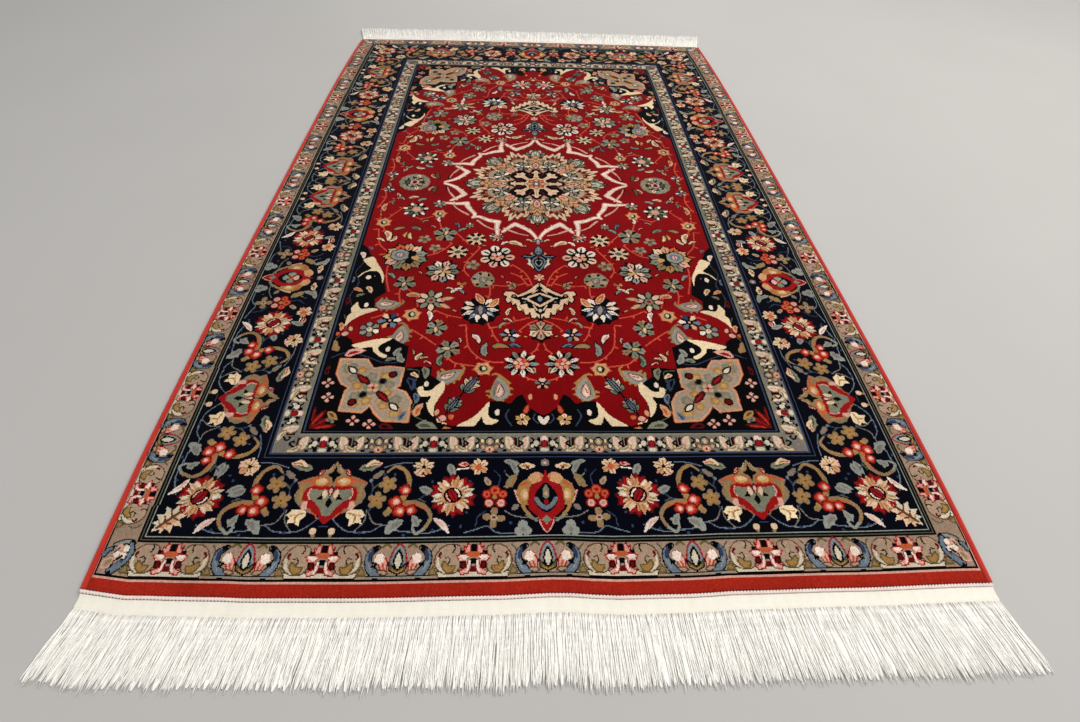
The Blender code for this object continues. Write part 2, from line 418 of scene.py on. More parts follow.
def guard_corner(pen):
    """A white flower held by curled blue leaves, and a beige leaf that points into the corner."""
    pen.line([(30, 12), (34, 14), (37, 20)], "steel", (3, 4.5), "black")
    pen.line([(5, 2), (14, 1), (27, 6)], "grey", (5, 3), "black")
    pen.line([(5, 3), (1.5, 12), (4, 22), (11, 31), (20, 39)], "steel", (4, 7.5), "black")
    pen.line([(5, 20), (10, 27)], "slate", 2.2)
    for turn, ink in ((40, "white"), (130, "white"), (220, "pink"), (310, "white")):
        pen.at(15, 14, turn).fill(blade(0, 1, 0, 11, 9, 0.6), ink)
    pen.line([(19, 10), (24, 16)], "black", 1.6)
    pen.line([(12, 20), (17, 24)], "black", 2.4)
    pen.fill(oval(15, 14, 2.0), "peach")
    leaf(pen, (21, 23), (35, 36), 12, "beige", "pink", belly=0.6)
    pen.line([(20, 26), (22, 36)], "black", 1.8)
    pen.fill(oval(21, 41, 2.4), "black")


def border_rosette(pen, slant=-45):
    """A jagged cream rosette on dark red sepals, with a slanted red heart."""
    for one in pen.around(6, 15):
        one.fill([(-7, 12), (-10, 21), (-7, 29), (0, 26), (6, 30), (10, 22), (7, 12)], "maroon")
        one.fill([(-6, 20), (-5, 27), (0, 23), (6, 28), (7, 21), (2, 18)], "red")
    for index, one in enumerate(pen.around(6, 45)):
        ink = ("cream", "ivory", "peach")[index % 3]
        one.fill([(-5, 10), (-7.5, 15), (-8, 21), (-4, 20), (-2, 28), (2, 22), (6.5, 25), (7.5, 16),
                  (5, 10)], ink)
        one.line([(-4, 14), (-5, 19)], "ochre", 2.6)
        one.line([(0, 14), (0, 22)], "peach" if ink == "cream" else "ochre", 2.4)
        one.line([(4, 13), (5, 20)], "white", 1.6)
    pen.fill(oval(0, 0, 14.5, 13.8), "peach")
    for one in pen.around(7, 10, 13.0):
        one.fill(oval(0, 0, 2.4, 1.4), "ochre")
    pen.fill(oval(0, 0, 11.6, 10.8), "black")
    slanted = pen.at(0, 0, slant)
    slanted.fill(oval(0, 0, 4.2, 9.2), "red")
    slanted.line([(0, -7), (0, 7)], "maroon", 2.2)
    for side in (-1, 1):
        slanted.line([(6.2 * side, -5.5), (7.6 * side, 0), (6.2 * side, 5.5)],
                     "pink" if side > 0 else "white", 2.0)


def star_leaf(pen):
    """A flat leaf with five round lobes."""
    pen.fill(lobed(0, 0, 12, 5, 0.55), "tan")
    pen.fill(lobed(0, 0, 7.2, 5, 0.6), "ochre")
    pen.fill(oval(0, 0, 1.4), "brown")


def cream_bloom(pen, size=14.0, inks=("cream", "cream", "peach")):
    """An open flower with five notched petals and a dark eye."""
    for index, one in enumerate(pen.around(5, 180)):
        one.fill([(-1.5, 2), (-0.36 * size, 0.62 * size), (-0.2 * size, 0.9 * size), (0, 0.8 * size),
                  (0.16 * size, size), (0.36 * size, 0.62 * size), (1.5, 2)], inks[index % len(inks)])
        one.line([(0, 3), (0, 0.66 * size)], "ochre", 1.8)
    pen.fill(oval(0, 0, 0.2 * size), "black")


def blossom(pen, size):
    """A red blossom with an orange heart and a pink gleam."""
    pen.fill(lobed(0, 0, size, 4, 0.2), "maroon")
    pen.fill(lobed(0.4, -0.4, 0.86 * size, 4, 0.25), "scarlet")
    pen.fill(lobed(0.6, -0.8, 0.6 * size, 5, 0.15), "coral")
    pen.fill(oval(1.0, -1.2, 0.4 * size), "pink")
    pen.fill(oval(1.4, -1.6, 0.17 * size), "white")


def sprig(pen):
    """A short twig with two buds."""
    pen.line([(0, 12), (1, 2), (-3, -8)], "slate", 2.0)
    pen.line([(1, 3), (7, -3)], "moss", 2.0)
    pen.fill(oval(-3, -8, 2.4), "steel")


def scroll_side(pen):
    """What lies between a shield and the next rosette of the main border."""
    pen.line([(8, 28), (17, 37), (31, 45), (56, 45), (71, 37), (88, 44), (104, 46), (128, 47), (150, 38)],
             "steel", 1.5)
    pen.line([(48, 18), (47, 32), (37, 45)], "stone", 1.4)
    pen.line([(51, 22), (58, 34), (71, 37)], "stone", 1.4)
    pen.line([(60, -40), (78, -46), (96, -47)], "steel", 1.4)
    sprig(pen.at(50, -14))
    sprig(pen.at(52, 12, 20))
    sprig(pen.at(112, 2, 70))
    pen.line([(66, -34), (76, -42), (88, -36), (95, -22), (94, -10), (90, 2)], "tan", (3, 8))
    pen.line([(78, -40), (88, -34), (93, -22)], "ochre", (2, 3))
    pen.line([(72, 22), (84, 12), (104, 9), (119, 15), (126, 28), (120, 42)], "tan", (8, 4))
    pen.line([(90, 12), (104, 11), (118, 17)], "orange", (4, 1.5))
    pen.line([(76, 16), (84, 9), (90, 2)], "ochre", 7)
    pen.line([(119, 42), (111, 48), (106, 42), (108, 34), (114, 32)], "grey", 3.6)
    leaf(pen, (112, 40), (104, 24), 9, "grey")
    leaf(pen, (94, 31), (74, 48), 17, "grey", belly=0.5, bend=0.1, teeth=3, bite=0.3)
    for x, y, size in ((91, -9, 8.5), (81, 8, 9.5), (87, 19, 9.0), (102, 18, 7.5)):
        blossom(pen.at(x, y, 9 * x), size)
    star_leaf(pen.at(69, -17, 10))
    star_leaf(pen.at(58, 5, 40))
    one = pen.at(34, 27, 30)
    one.fill([(-14, -4), (-6, -8), (2, -12), (10, -9), (8, -3), (13, 2), (6, 4), (2, 12), (-3, 5),
              (-9, 4)], "straw")
    one.line([(-9, -1), (0, -2), (4, 5)], "ochre", 2.2)
    one.line([(0, -3), (6, -6)], "peach", 2.0)
    leaf(pen, (29, -38), (58, -46), 14, "sage", teeth=3)
    leaf(pen, (56, -47), (36, -41), 8, "cream", bend=0.15)
    leaf(pen, (50, -45), (58, -47), 5, "pink")
    leaf(pen, (48, -24), (62, -36), 9, "stone", teeth=2)
    cream_bloom(pen.at(111, -41))
    pen.line([(100, -34), (104, -30), (112, -28)], "pink", 2.4)
    leaf(pen, (108, -12), (128, -4), 10, "grey")
    leaf(pen, (129, 29), (150, 49), 8, "white", bend=-0.08)
    leaf(pen, (143, -46), (151, -26), 10, "grey")
    for x, y in ((100, -40), (63, -30), (124, -20), (44, 46), (96, 50), (130, 44), (76, -30)):
        pen.fill(oval(x, y, 1.8), "slate")


def shield(pen):
    """A red and grey heart in a tan calyx, its tip outward."""
    for one in pen.both():
        scroll_side(one)
        one.fill([(0, -50), (4, -41), (11, -37), (17, -38), (16, -30), (32, -25), (44, -19), (39, -13),
                  (44, -2), (40, 8), (30, 16), (22, 21), (10, 24), (0, 24)], "tan")
        one.line([(42, -17), (38, -8), (42, 0), (37, 9), (28, 17), (12, 24)], "stone", 1.6)
        one.line([(37, -12), (35, -2), (33, 6)], "ochre", (4, 2))
        one.line([(18, -26), (30, -22), (41, -19)], "orange", (5, 2))
        leaf(one, (14, -38), (20, -28), 5, "pink", "maroon")
        one.fill(oval(28, 12, 4.5, 5.5), "pink")
        one.line([(4, -44), (9, -34)], "beige", 1.6)
    for one in pen.both():
        one.fill(oval(15, -19, 11.5, 8.5), "orange")
        one.fill(oval(14, -20.5, 8, 5.0), "gold")
        one.fill(oval(13, -21.5, 4.6, 2.6), "cream")
        one.fill([(0, -10), (5, -15), (12, -13), (22, -15), (30, -12), (33, -5), (33, 6), (26, 6),
                  (25, 15), (19, 17), (18, 22), (10, 24), (7, 30), (0, 36)], "red")
        one.fill([(0, -8), (11, -9), (24, -10), (26, -4), (24, 3), (17, 7), (12, 13), (8, 18), (5, 24),
                  (0, 26)], "sage")
        one.line([(25, -11), (27, -3), (24, 4)], "pink", 1.6)
        one.line([(10, 28), (16, 22), (24, 18)], "orange", 1.4)
        one.fill([(10, -4), (16, 4), (8, 5)], "black")
        one.fill(blade(6, 3, 8, -10, 6.5, 0.5), "cream")
        one.fill(oval(11, 44.5, 4.2, 4.2), "cream")
        one.fill(oval(10, 50, 2.4, 1.8), "tan")
    pen.fill(starry(0, -30, 9, 4, 0.55, 0, 1.4), "black")
    pen.fill(blade(0, 2, 0, -15, 8, 0.6), "maroon")
    pen.fill(blade(0, -1, 0, -12, 3.6, 0.6), "pink")
    pen.fill(blade(0, 15, 0, 2, 8, 0.5), "black")
    pen.line([(0, 16), (0, 24)], "steel", 2.2)
    pen.fill(even([(5.5, 40), (5.5, 51)]), "black")
    pen.line([(-5, 39), (5, 39)], "slate", 1.5)


def palmette_side(pen):
    """Small flowers between a palmette and the next rosette of the main border."""
    pen.line([(10, 31), (37, 28), (52, 20)], "stone", 1.5)
    pen.line([(30, 46), (40, 49), (60, 48), (72, 40), (86, 44), (100, 48)], "steel", 1.4)
    pen.line([(60, -14), (58, -26), (66, -36)], "slate", 1.6)
    pen.line([(74, 20), (84, 28), (86, 40)], "slate", 1.4)
    pen.fill(lobed(64, 1, 14.5, 5, 0.2, 180), "maroon")
    for x, y, size in ((56, 10, 5.4), (71, 10, 5.4), (54, -2, 5.2), (74, -2, 5.2), (64, -7, 6.4)):
        pen.fill(oval(x, y, size), "pink" if y > 0 else "orange", "red", 1.6)
        pen.fill(oval(x, y, 0.4 * size), "beige" if y > 0 else "red")
    pen.fill(oval(64, 2, 3.0), "ochre")
    leaf(pen, (70, -14), (78, -26), 9, "beige", teeth=2)
    for x, y, wide, high in ((64, 21, 4.4, 5.5), (73, 28, 5.5, 4.4), (65, 37, 4.4, 5.5),
                             (56, 30, 5.5, 4.4)):
        pen.fill(oval(x, y, wide, high), "tan")
    pen.fill(oval(64.5, 29, 4.6, 4.4), "beige")
    pen.fill(oval(64.5, 29, 1.8), "maroon")
    cream_bloom(pen.at(85, -41, 20), 13, ("cream", "peach"))
    pen.fill(oval(86, -40, 4, 5), "orange")
    leaf(pen, (98, -45), (113, -44), 8, "pink", "maroon")
    pen.line([(98, -39), (114, -37)], "white", 1.8)
    leaf(pen, (54, -50), (32, -44), 9, "grey", teeth=2)
    leaf(pen, (44, -50), (35, -28), 10, "grey", teeth=2)
    leaf(pen, (34, -42), (12, -41), 11, "cream", teeth=3)
    pen.fill(oval(23, -39, 2.0), "maroon")
    pen.fill(lobed(29, 44, 11, 3, 0.5, 180), "grey")
    pen.fill(oval(29, 45, 3.0), "stone")
    leaf(pen, (50, -10), (37, -30), 13, "tan", teeth=2)
    pen.line([(50, -30), (44, -20), (52, -12)], "sage", 1.8)
    for x, y in ((98, 22), (44, 36), (92, 10), (52, -34), (96, -20), (104, 40)):
        pen.fill(oval(x, y, 1.8), "slate")


def palmette(pen, heart=True):
    """A pointed palmette: ochre petals, a crimson ring and a small flower inside."""
    for one in pen.both():
        palmette_side(one)
        leaf(one, (30, 14), (40, -8), 9, "pink", bend=-0.1)
        leaf(one, (34, 12), (43, 20), 7, "stone")
        one.fill(rounded([(2, -18), (4, -29), (11, -32), (19, -29), (23, -20), (14, -14)]), "peach")
        one.line([(9, -27), (14, -21), (20, -22)], "gold", 3.0)
        one.line([(6, -30), (5, -21)], "orange", 1.6)
        one.fill(rounded([(19, -20), (30, -19), (36, -8), (34, 6), (27, 14), (20, 8)]), "ochre")
        one.line([(24, -17), (31, -14)], "orange", 4.0)
        one.fill(oval(27, -1, 5.0, 8.0), "gold")
        one.fill(oval(26, 0, 2.6, 4.6), "cream")
        one.line([(30, 10), (26, 20), (18, 29)], "ochre", (5, 3))
        one.line([(24, 26), (12, 34)], "sage", 3.4)
    pen.fill(even([(0, -37), (2.5, -28), (5, -20), (14, -16), (20, -12), (22, -2), (23, 10), (22, 18),
                   (15, 25), (9, 31), (7, 40), (0, 51)]), "red")
    for one in pen.both():
        one.line([(9, 33), (6, 42), (1, 49)], "pink", 1.4)
    pen.fill(rounded(even([(0, -17), (8, -10), (14, 0), (14, 10), (8, 19), (0, 24)])), "navy")
    if heart:
        pen.fill(blade(0, 6, 0, -15, 9, 0.4), "sage")
        pen.fill(blade(0, 2, 0, -6, 4), "peach")
        for one in pen.both():
            one.line([(12, 5), (8, 13), (0, 18)], "steel", (5, 6))
            one.line([(10, 8), (6, 13)], "sage", 2.4)
        pen.fill(oval(0, 10, 3.0, 3.4), "red")
    else:
        flower(pen.at(0, 2), 14, 4, "grey sage pink", "orange")
        pen.fill(oval(0, 2, 2.0), "maroon")
    pen.fill(starry(0, 33, 6.5, 4, 0.4), "sage")
    pen.fill(oval(0, -46, 5.4), "stone")
    pen.fill(oval(0, -46, 2.0), "pink")


def border_corner(pen):
    """A jagged cream and peach leaf with brown veins, pointing into the corner."""
    for one, ink, second in zip(pen.both(), ("ivory", "cream"), ("cream", "peach")):
        one.fill([(0, 29), (5, 18), (12, 21), (9, 11), (21, 10), (12, 1), (23, -7), (10, -10), (12, -22),
                  (3, -16), (0, -23)], ink)
        one.fill([(0, 21), (5, 11), (11, 10), (6, 1), (12, -5), (5, -10), (0, -16)], second)
        one.line([(0, 8), (9, 2)], "brown", 2.2)
        one.line([(0, -4), (11, -9)], "brown", 2.2)
        one.line([(0, 16), (7, 12)], "ochre", 1.8)
    pen.line([(0, -18), (0, 20)], "brown", 3.0)


def inner_flower(pen, dark):
    """A small flower of the inner guard, with the leaf pairs on either side of it."""
    for one in pen.both():
        one.fill([(25, -11), (35, -9), (35, 2), (31, 4), (29, -3), (24, -4)], "maroon", "black")
        one.fill(rounded([(20, -12), (28, -11), (32, -3), (27, 9), (21, 3)]), "ivory", "tan")
        one.line([(25, -8), (27, 5)], "pink", 3.0)
        leaf(one, (28, 2), (47, 11), 8, "ivory", "tan", bend=0.1)
        one.fill(oval(16, 3, 2.6, 4.0), "ivory", "black")
        one.line([(47, -12), (40, -7), (44, -1), (38, 4)], "black", 2.8)
        one.line([(17, -9), (13, -5), (18, -1)], "black", 2.8)
        one.fill(oval(42, -8, 3.0, 2.4), "sage")
        one.fill(oval(20, 10, 3.0, 2.0), "black")
        if dark:
            one.fill([(3, -10), (9, -10), (12, -4), (6, -3)], "black")
            one.fill([(6, 4), (13, 3), (12, 11), (7, 11)], "black")
            one.fill(oval(11, -1, 3.6, 4.4), "ivory")
            one.line([(3, 3), (8, 2)], "black", 2.4)
        else:
            one.fill(oval(9, 4, 3.2, 4.0), "beige", "brown")
            one.fill(oval(10, -5, 3.0, 3.4), "cream", "olive")
            one.line([(4, 11), (10, 12)], "black", 2.6)
    if dark:
        pen.fill(oval(0, -8, 4.4, 4.6), "white", "pink")
        pen.fill(oval(0, 0, 4.0, 5.4), "red", "maroon", 1.8)
        pen.fill(oval(0, 9, 5.6, 3.8), "ivory", "sage")
    else:
        pen.fill(oval(0, -4, 6.0, 6.6), "sage", "black", 2.0)
        pen.fill(oval(0, -4, 2.4, 3.4), "pink")
        pen.fill(oval(0, 8, 5.8, 4.6), "pink", "ochre")
        pen.fill(oval(0, 8.5, 1.8), "maroon")


def draw_borders(pen):
    """The frames, the flowers of both guards and the navy border."""
    for (across, along, ink), (inner_across, inner_along, _) in zip(FRAMES, FRAMES[1:]):
        pen.fill([(inner_across, BLEED), (across, BLEED), (across, along), (BLEED, along),
                  (BLEED, inner_along), (inner_across, inner_along)], ink)
    for index in range(6):
        draw = guard_star if index % 2 else guard_bud
        draw(pen.at(index * END_GUARD_PITCH, END_GUARD))
    stretch = SIDE_GUARD_PITCH / END_GUARD_PITCH / SIDE_GUARD_SIZE
    for index in range(10):
        draw = guard_star if index % 2 else guard_bud
        draw(pen.at(SIDE_GUARD, index * SIDE_GUARD_PITCH, -90, SIDE_GUARD_SIZE, stretch))
    guard_corner(pen.at(477.5, 776, size=0.92, wide=0.9))
    shield(pen.at(267, END_BORDER))
    palmette(pen.at(0, END_BORDER))
    palmette(pen.at(SIDE_BORDER, 307, -90), heart=False)
    shield(pen.at(SIDE_BORDER, 59, -90, wide=137 / 150))
    shield(pen.at(SIDE_BORDER, 565, -90))
    for x, y in ((424, END_BORDER + 2), (SIDE_BORDER, 196), (SIDE_BORDER, 418)):
        border_rosette(pen.at(x, y))
    border_rosette(pen.at(116, END_BORDER - 1), 30)
    border_corner(pen.at(450, 747, -45, 0.8))
    for index in range(5):
        inner_flower(pen.at(END_INNER_PITCH * index, END_INNER), index % 2 == 0)
    for index in range(9):
        inner_flower(pen.at(SIDE_INNER, 591 - SIDE_INNER_PITCH * index, -90), index % 2 == 0)


def cross_flower(pen):
    """Four pink petals on black."""
    flower(pen, 9, 4, "pink", "maroon", core_size=0.2, slim=0.7)


def petals(pen, radius, inks, inner, width, turn=0.0, notch=None, edge=None):
    """A ring of jagged petals, one for each ink, from the inner share out; notch inks a slit in each."""
    inks = inks.split()
    half = 0.5 * width
    for one, ink in zip(pen.at(0, 0, size=radius).around(len(inks), turn), inks):
        one.fill([(-0.35 * half, inner), (-half, 0.66), (-0.9 * half, 0.84), (-0.35 * half, 0.86), (0, 1),
                  (0.4 * half, 0.88), (half, 0.76), (0.8 * half, 0.58), (0.35 * half, inner)], ink, edge)
        if notch:
            one.line([(0, 0.5), (0, 0.74)], notch, 2.0)


def boteh(pen, flame="ochre"):
    """A bent drop shape with a flaming rim; its tip is at -y."""
    pen.line([(5, 4), (11, -8), (6, -19), (-4, -27), (-9, -25)], flame, (7, 2.4))
    for x, y, turn in ((10, 8, -95), (12, -3, -75), (10, -14, -55), (4, 19, -150), (-9, 12, 110),
                       (-10, 3, 80)):
        pen.at(x, y, turn).fill(blade(0, -2, 0, 8, 4.6), flame)
    pen.fill(blade(0, 20, -1, -24, 26, 0.35, 0.06), flame)
    pen.fill(blade(0, 19, -1, -22, 23.5, 0.35, 0.06), "grey")
    pen.line([(-7, 10), (-6, -4), (-3, -14)], "sage", 3.0)
    pen.fill(blade(0, 14, 0, -13, 13, 0.36, 0.04), "maroon")
    pen.fill(blade(0, 13, 0, -11, 10.5, 0.36, 0.04), "pink")
    pen.fill(blade(0, 11, 0, -7, 6, 0.36, 0.04), "ivory")
    pen.line([(-1, 5), (1, -3)], "red", 1.6)


def torch(pen, ink="cream"):
    """A slim dark bud with side leaves, rising to -y."""
    for one in pen.both():
        leaf(one, (2, 7), (14, -7), 9, ink, "black", bend=-0.1)
        leaf(one, (2, 15), (12, 4), 8, "sage", "black")
        one.fill(blade(3, -4, 8, -13, 4), "grey")
    pen.fill(blade(0, 18, 0, -20, 9), "steel", "black", LINE)
    pen.line([(0, 13), (0, -13)], "black", 1.8)


def grey_palmette(pen):
    """Overlapping grey petals round a cream middle."""
    petals(pen, 18, "grey sage white sage grey stone", 0.2, 0.62, 10, None, "black")
    pen.fill(oval(0, 0, 6, 5), "cream", "black")
    pen.fill(oval(2, 0, 2), "grey")


# The cream flame leaves along the spandrel's rim, and the dark ring with a cream eye in each hook.
FLAME_LEAVES = (
    # eye, outline
    ((291, 304), ((292, 248), (284, 261), (275, 279), (268, 295), (265, 310), (266, 319), (270, 303),
                  (277, 290), (285, 287), (297, 290), (305, 301), (309, 306), (303, 293), (290, 281),
                  (296, 273), (303, 264), (307, 256))),
    ((283, 373), ((262, 384), (284, 396), (300, 412), (306, 422), (307, 402), (302, 392), (304, 380),
                  (297, 367), (293, 377), (287, 383), (276, 381))),
    ((232, 471), ((287, 462), (271, 456), (252, 450), (228, 448), (240, 458), (246, 464), (247, 471),
                  (241, 478), (232, 484), (234, 489), (245, 484), (253, 475), (257, 466), (271, 469),
                  (283, 467))),
    ((167, 540), ((143, 534), (140, 550), (148, 568), (151, 584), (149, 598), (158, 588), (162, 574),
                  (158, 562), (172, 563), (179, 549), (172, 544), (169, 552), (161, 552), (151, 542))),
    ((64, 589), ((118, 612), (102, 601), (88, 587), (75, 569), (77, 588), (74, 598), (62, 603), (72, 610),
                 (82, 607), (85, 597), (91, 606), (96, 612), (107, 612))),
)


def wedge_dots(pen):
    """Three dots in a wedge of the corner's rim."""
    pen.fill(oval(0, 0, 4, 6), "peach", "maroon")
    pen.fill(oval(10, 8, 6, 5), "pink", "maroon")
    pen.fill(oval(21, 4, 4.5), "orange", "maroon")


def crossed_palmette(pen):
    """The large tan palmette in the field's corner, with cloudy ochre and sage inside."""
    body = np.array([(298, 491), (259, 492), (247, 511), (225, 507), (203, 510), (205, 543), (212, 548),
                     (195, 555), (185, 572), (184, 605), (220, 603), (233, 590), (241, 578), (251, 589),
                     (282, 586), (280, 552), (275, 546), (288, 538), (298, 520)], float)
    pen.fill(body, "beige", "orange", 3.8)
    pen.fill(body, "beige", "peach", 2.4)
    middle = pen.at(242, 547, 45)
    for x, y, wide, ink in (
        # x, y, size, ink
        (0, -56, 13, "sage"), (-9, -38, 9, "ochre"), (9, -36, 9, "sage"), (-12, -18, 9, "sage"),
        (12, -20, 10, "ochre"), (-26, -4, 11, "ochre"), (-38, 2, 8, "sage"), (-20, 12, 9, "sage"),
        (26, -6, 10, "sage"), (36, 4, 9, "ochre"), (20, 12, 9, "ochre"), (-9, 22, 8, "ochre"),
        (9, 36, 9, "ochre"), (-10, 40, 10, "sage"), (4, 58, 12, "ochre"), (0, 0, 16, "sage"),
        (-3, -64, 5, "ochre"), (6, 24, 6, "grey"), (-6, -28, 6, "grey"), (4, -50, 5, "ochre"),
    ):
        middle.fill(lobed(x, y, 0.9 * wide, 5, 0.25, 7 * x), ink)
        middle.fill(lobed(x + 1, y, 0.45 * wide, 4, 0.2, 5 * y), "fawn" if ink == "sage" else "gold")
    inner = (242, 547) + 0.87 * (body - (242, 547))
    pen.draw(pen.place(np.vstack((inner, inner[:1]))), 1.8, "grey")
    for side in (-1, 1):
        middle.fill(oval(side * 17, 0, 6.4), "moss")
        middle.fill(oval(side * 17, 0, 4.6), "black")
        middle.fill(oval(side * 35, 0, 5.6), "maroon", "black", 2.2)
        middle.fill(blade(0, 8 * side, 0, 38 * side, 10), "maroon", "black")
        middle.line([(0, 16 * side), (0, 30 * side)], "red", 2.2)
        middle.line([(0, 36 * side), (0, 42 * side)], "slate", 3.4)
        middle.fill(blade(0, 38 * side, 0, 60 * side, 12), "black")
        middle.fill(blade(0, 41 * side, 0, 56 * side, 6.4), "white")
    flower(middle, 9, 4, "pink peach", "red", slim=0.9)


def draw_spandrel(pen):
    """The black corner of the field: a crossed palmette, small flowers and a rim of flame leaves."""
    rim = [(330, 205), (316, 213), (306, 222), (296, 244), (284, 261), (275, 279), (268, 295), (263, 313),
           (256, 343), (272, 358), (268, 380), (285, 393), (301, 410), (309, 422), (309, 436), (290, 452),
           (286, 460), (252, 450), (226, 449), (214, 458), (201, 465), (201, 508), (162, 507), (162, 524),
           (146, 536), (140, 550), (148, 568), (150, 590), (144, 606), (122, 612), (116, 610), (102, 601),
           (88, 587), (75, 569), (58, 570), (46, 574), (38, 562), (30, 557), (25, 566), (20, 580),
           (8, 590), (0, 594), (-4, 594), (-4, 640), (330, 640)]
    pen.fill(rim, "black")
    pen.line([(198, 512), (180, 516), (184, 540), (176, 560), (181, 590), (164, 604)], "moss", 1.6)
    pen.line([(206, 496), (230, 500), (262, 486), (290, 478), (312, 488)], "slate", 1.6)
    pen.line([(312, 398), (303, 428), (314, 450)], "moss", 1.6)
    pen.line([(316, 232), (306, 262), (314, 290), (304, 318), (312, 350), (306, 372)], "slate", 1.6)
    crossed_palmette(pen)
    for x, y in ((307, 537), (302, 563), (260, 603), (237, 609)):
        cross_flower(pen.at(x, y))
    for turn in (-40, -15, 10, 35, 60, 85):
        one = pen.at(318, 617, 90 + turn)
        leaf(one, (0, 0), (0, 38), 12, "maroon", teeth=3)
        one.line([(0, 8), (0, 30)], "red" if turn % 2 else "scarlet", 3.0)
    leaf(pen, (296, 588), (281, 602), 10, "ochre")
    for x, y, turn, wide, ink in (
        # x, y, turn, size, ink
        (312, 424, 10, 18, "peach"), (310, 464, 200, 26, "tan"), (279, 479, 110, 32, "pink"),
        (210, 488, 200, 24, "grey"), (312, 513, 170, 18, "maroon"), (171, 586, 160, 26, "peach"),
        (158, 613, 80, 30, "sage"), (213, 614, 80, 22, "maroon"), (172, 519, 10, 24, "sage"),
        (190, 540, 20, 26, "slate"), (180, 566, 10, 20, "steel"), (224, 493, 100, 18, "sage"),
        (285, 336, 30, 20, "cream"), (311, 244, 20, 20, "white"), (216, 476, 150, 20, "grey"),
        (302, 337, 60, 18, "peach"), (314, 365, 0, 18, "maroon"), (300, 224, 40, 12, "steel"),
        (192, 596, 150, 18, "steel"), (290, 604, 60, 14, "sage"), (130, 618, 80, 16, "orange"),
        (316, 310, 10, 16, "steel"), (296, 350, 120, 14, "sage"), (186, 524, 60, 16, "cream"),
    ):
        leaf(pen.at(x, y, turn), (0, -0.5 * wide), (0, 0.5 * wide), 0.52 * wide, ink, belly=0.4, bend=0.1,
             teeth=2)
    flower(pen.at(290, 303), 10, 5, "cream pink steel", "orange", turn=20)
    for (x, y), outline in FLAME_LEAVES:
        pen.fill(lobed(x, y, 11, 5, 0.15), "black")
        pen.fill(rounded(outline), "straw")
        pen.fill(oval(x, y, 3.6, 5.2), "white")
    wedge_dots(pen.at(296, 428, 20))
    wedge_dots(pen.at(146, 590, -10, flip=True))
    cream_bloom(pen.at(29, 601), 11, ("cream", "gold", "peach"))
    pen.fill(blade(26, 592, 21, 576, 7), "orange", "red")
    for one in pen.both():
        one.fill(blade(0, 610, 7, 594, 7), "white")
        one.line([(8, 608), (14, 600), (12, 592)], "slate", 2.0)
        one.line([(44, 612), (52, 596), (48, 584)], "slate", 2.0)
    pen.fill(oval(18, 562, 3.6, 6), "peach", "red")


# The vines of the field, and the leaves and flowers that are scattered over it.
STEMS = (
    ((202, 429), (182, 444), (162, 461)),
    ((118, 418), (112, 463), (96, 486), (80, 495), (58, 497)),
    ((78, 424), (74, 440), (66, 454)),
    ((12, 401), (40, 408), (78, 424), (84, 400)),
    ((296, 165), (287, 210), (268, 240), (262, 300), (252, 340)),
    ((232, 320), (234, 345), (228, 372)),
    ((46, 267), (28, 284), (18, 303), (10, 330)),
    ((78, 322), (48, 324), (24, 316)),
    ((105, 219), (116, 240), (128, 262), (131, 284), (122, 300)),
    ((157, 208), (170, 226), (186, 240), (210, 246)),
    ((171, 385), (150, 396), (128, 402)),
    ((84, 326), (86, 352), (96, 372)),
    ((188, 128), (180, 160), (166, 178)),
    ((280, 66), (300, 90), (298, 130), (284, 170), (276, 186)),
    ((262, 96), (278, 120), (288, 138)),
    ((237, 122), (222, 130), (200, 122)),
    ((150, 178), (136, 196), (128, 208)),
    ((225, 330), (206, 350), (200, 376)),
    ((140, 490), (128, 500), (96, 506)),
    ((32, 518), (20, 528), (8, 532)),
    ((16, 478), (8, 470), (4, 458)),
    ((20, 322), (32, 300), (48, 290)),
    ((34, 430), (20, 416), (6, 408)),
    ((306, 30), (300, 60), (310, 96)),
    ((230, 398), (250, 396), (268, 404)),
)
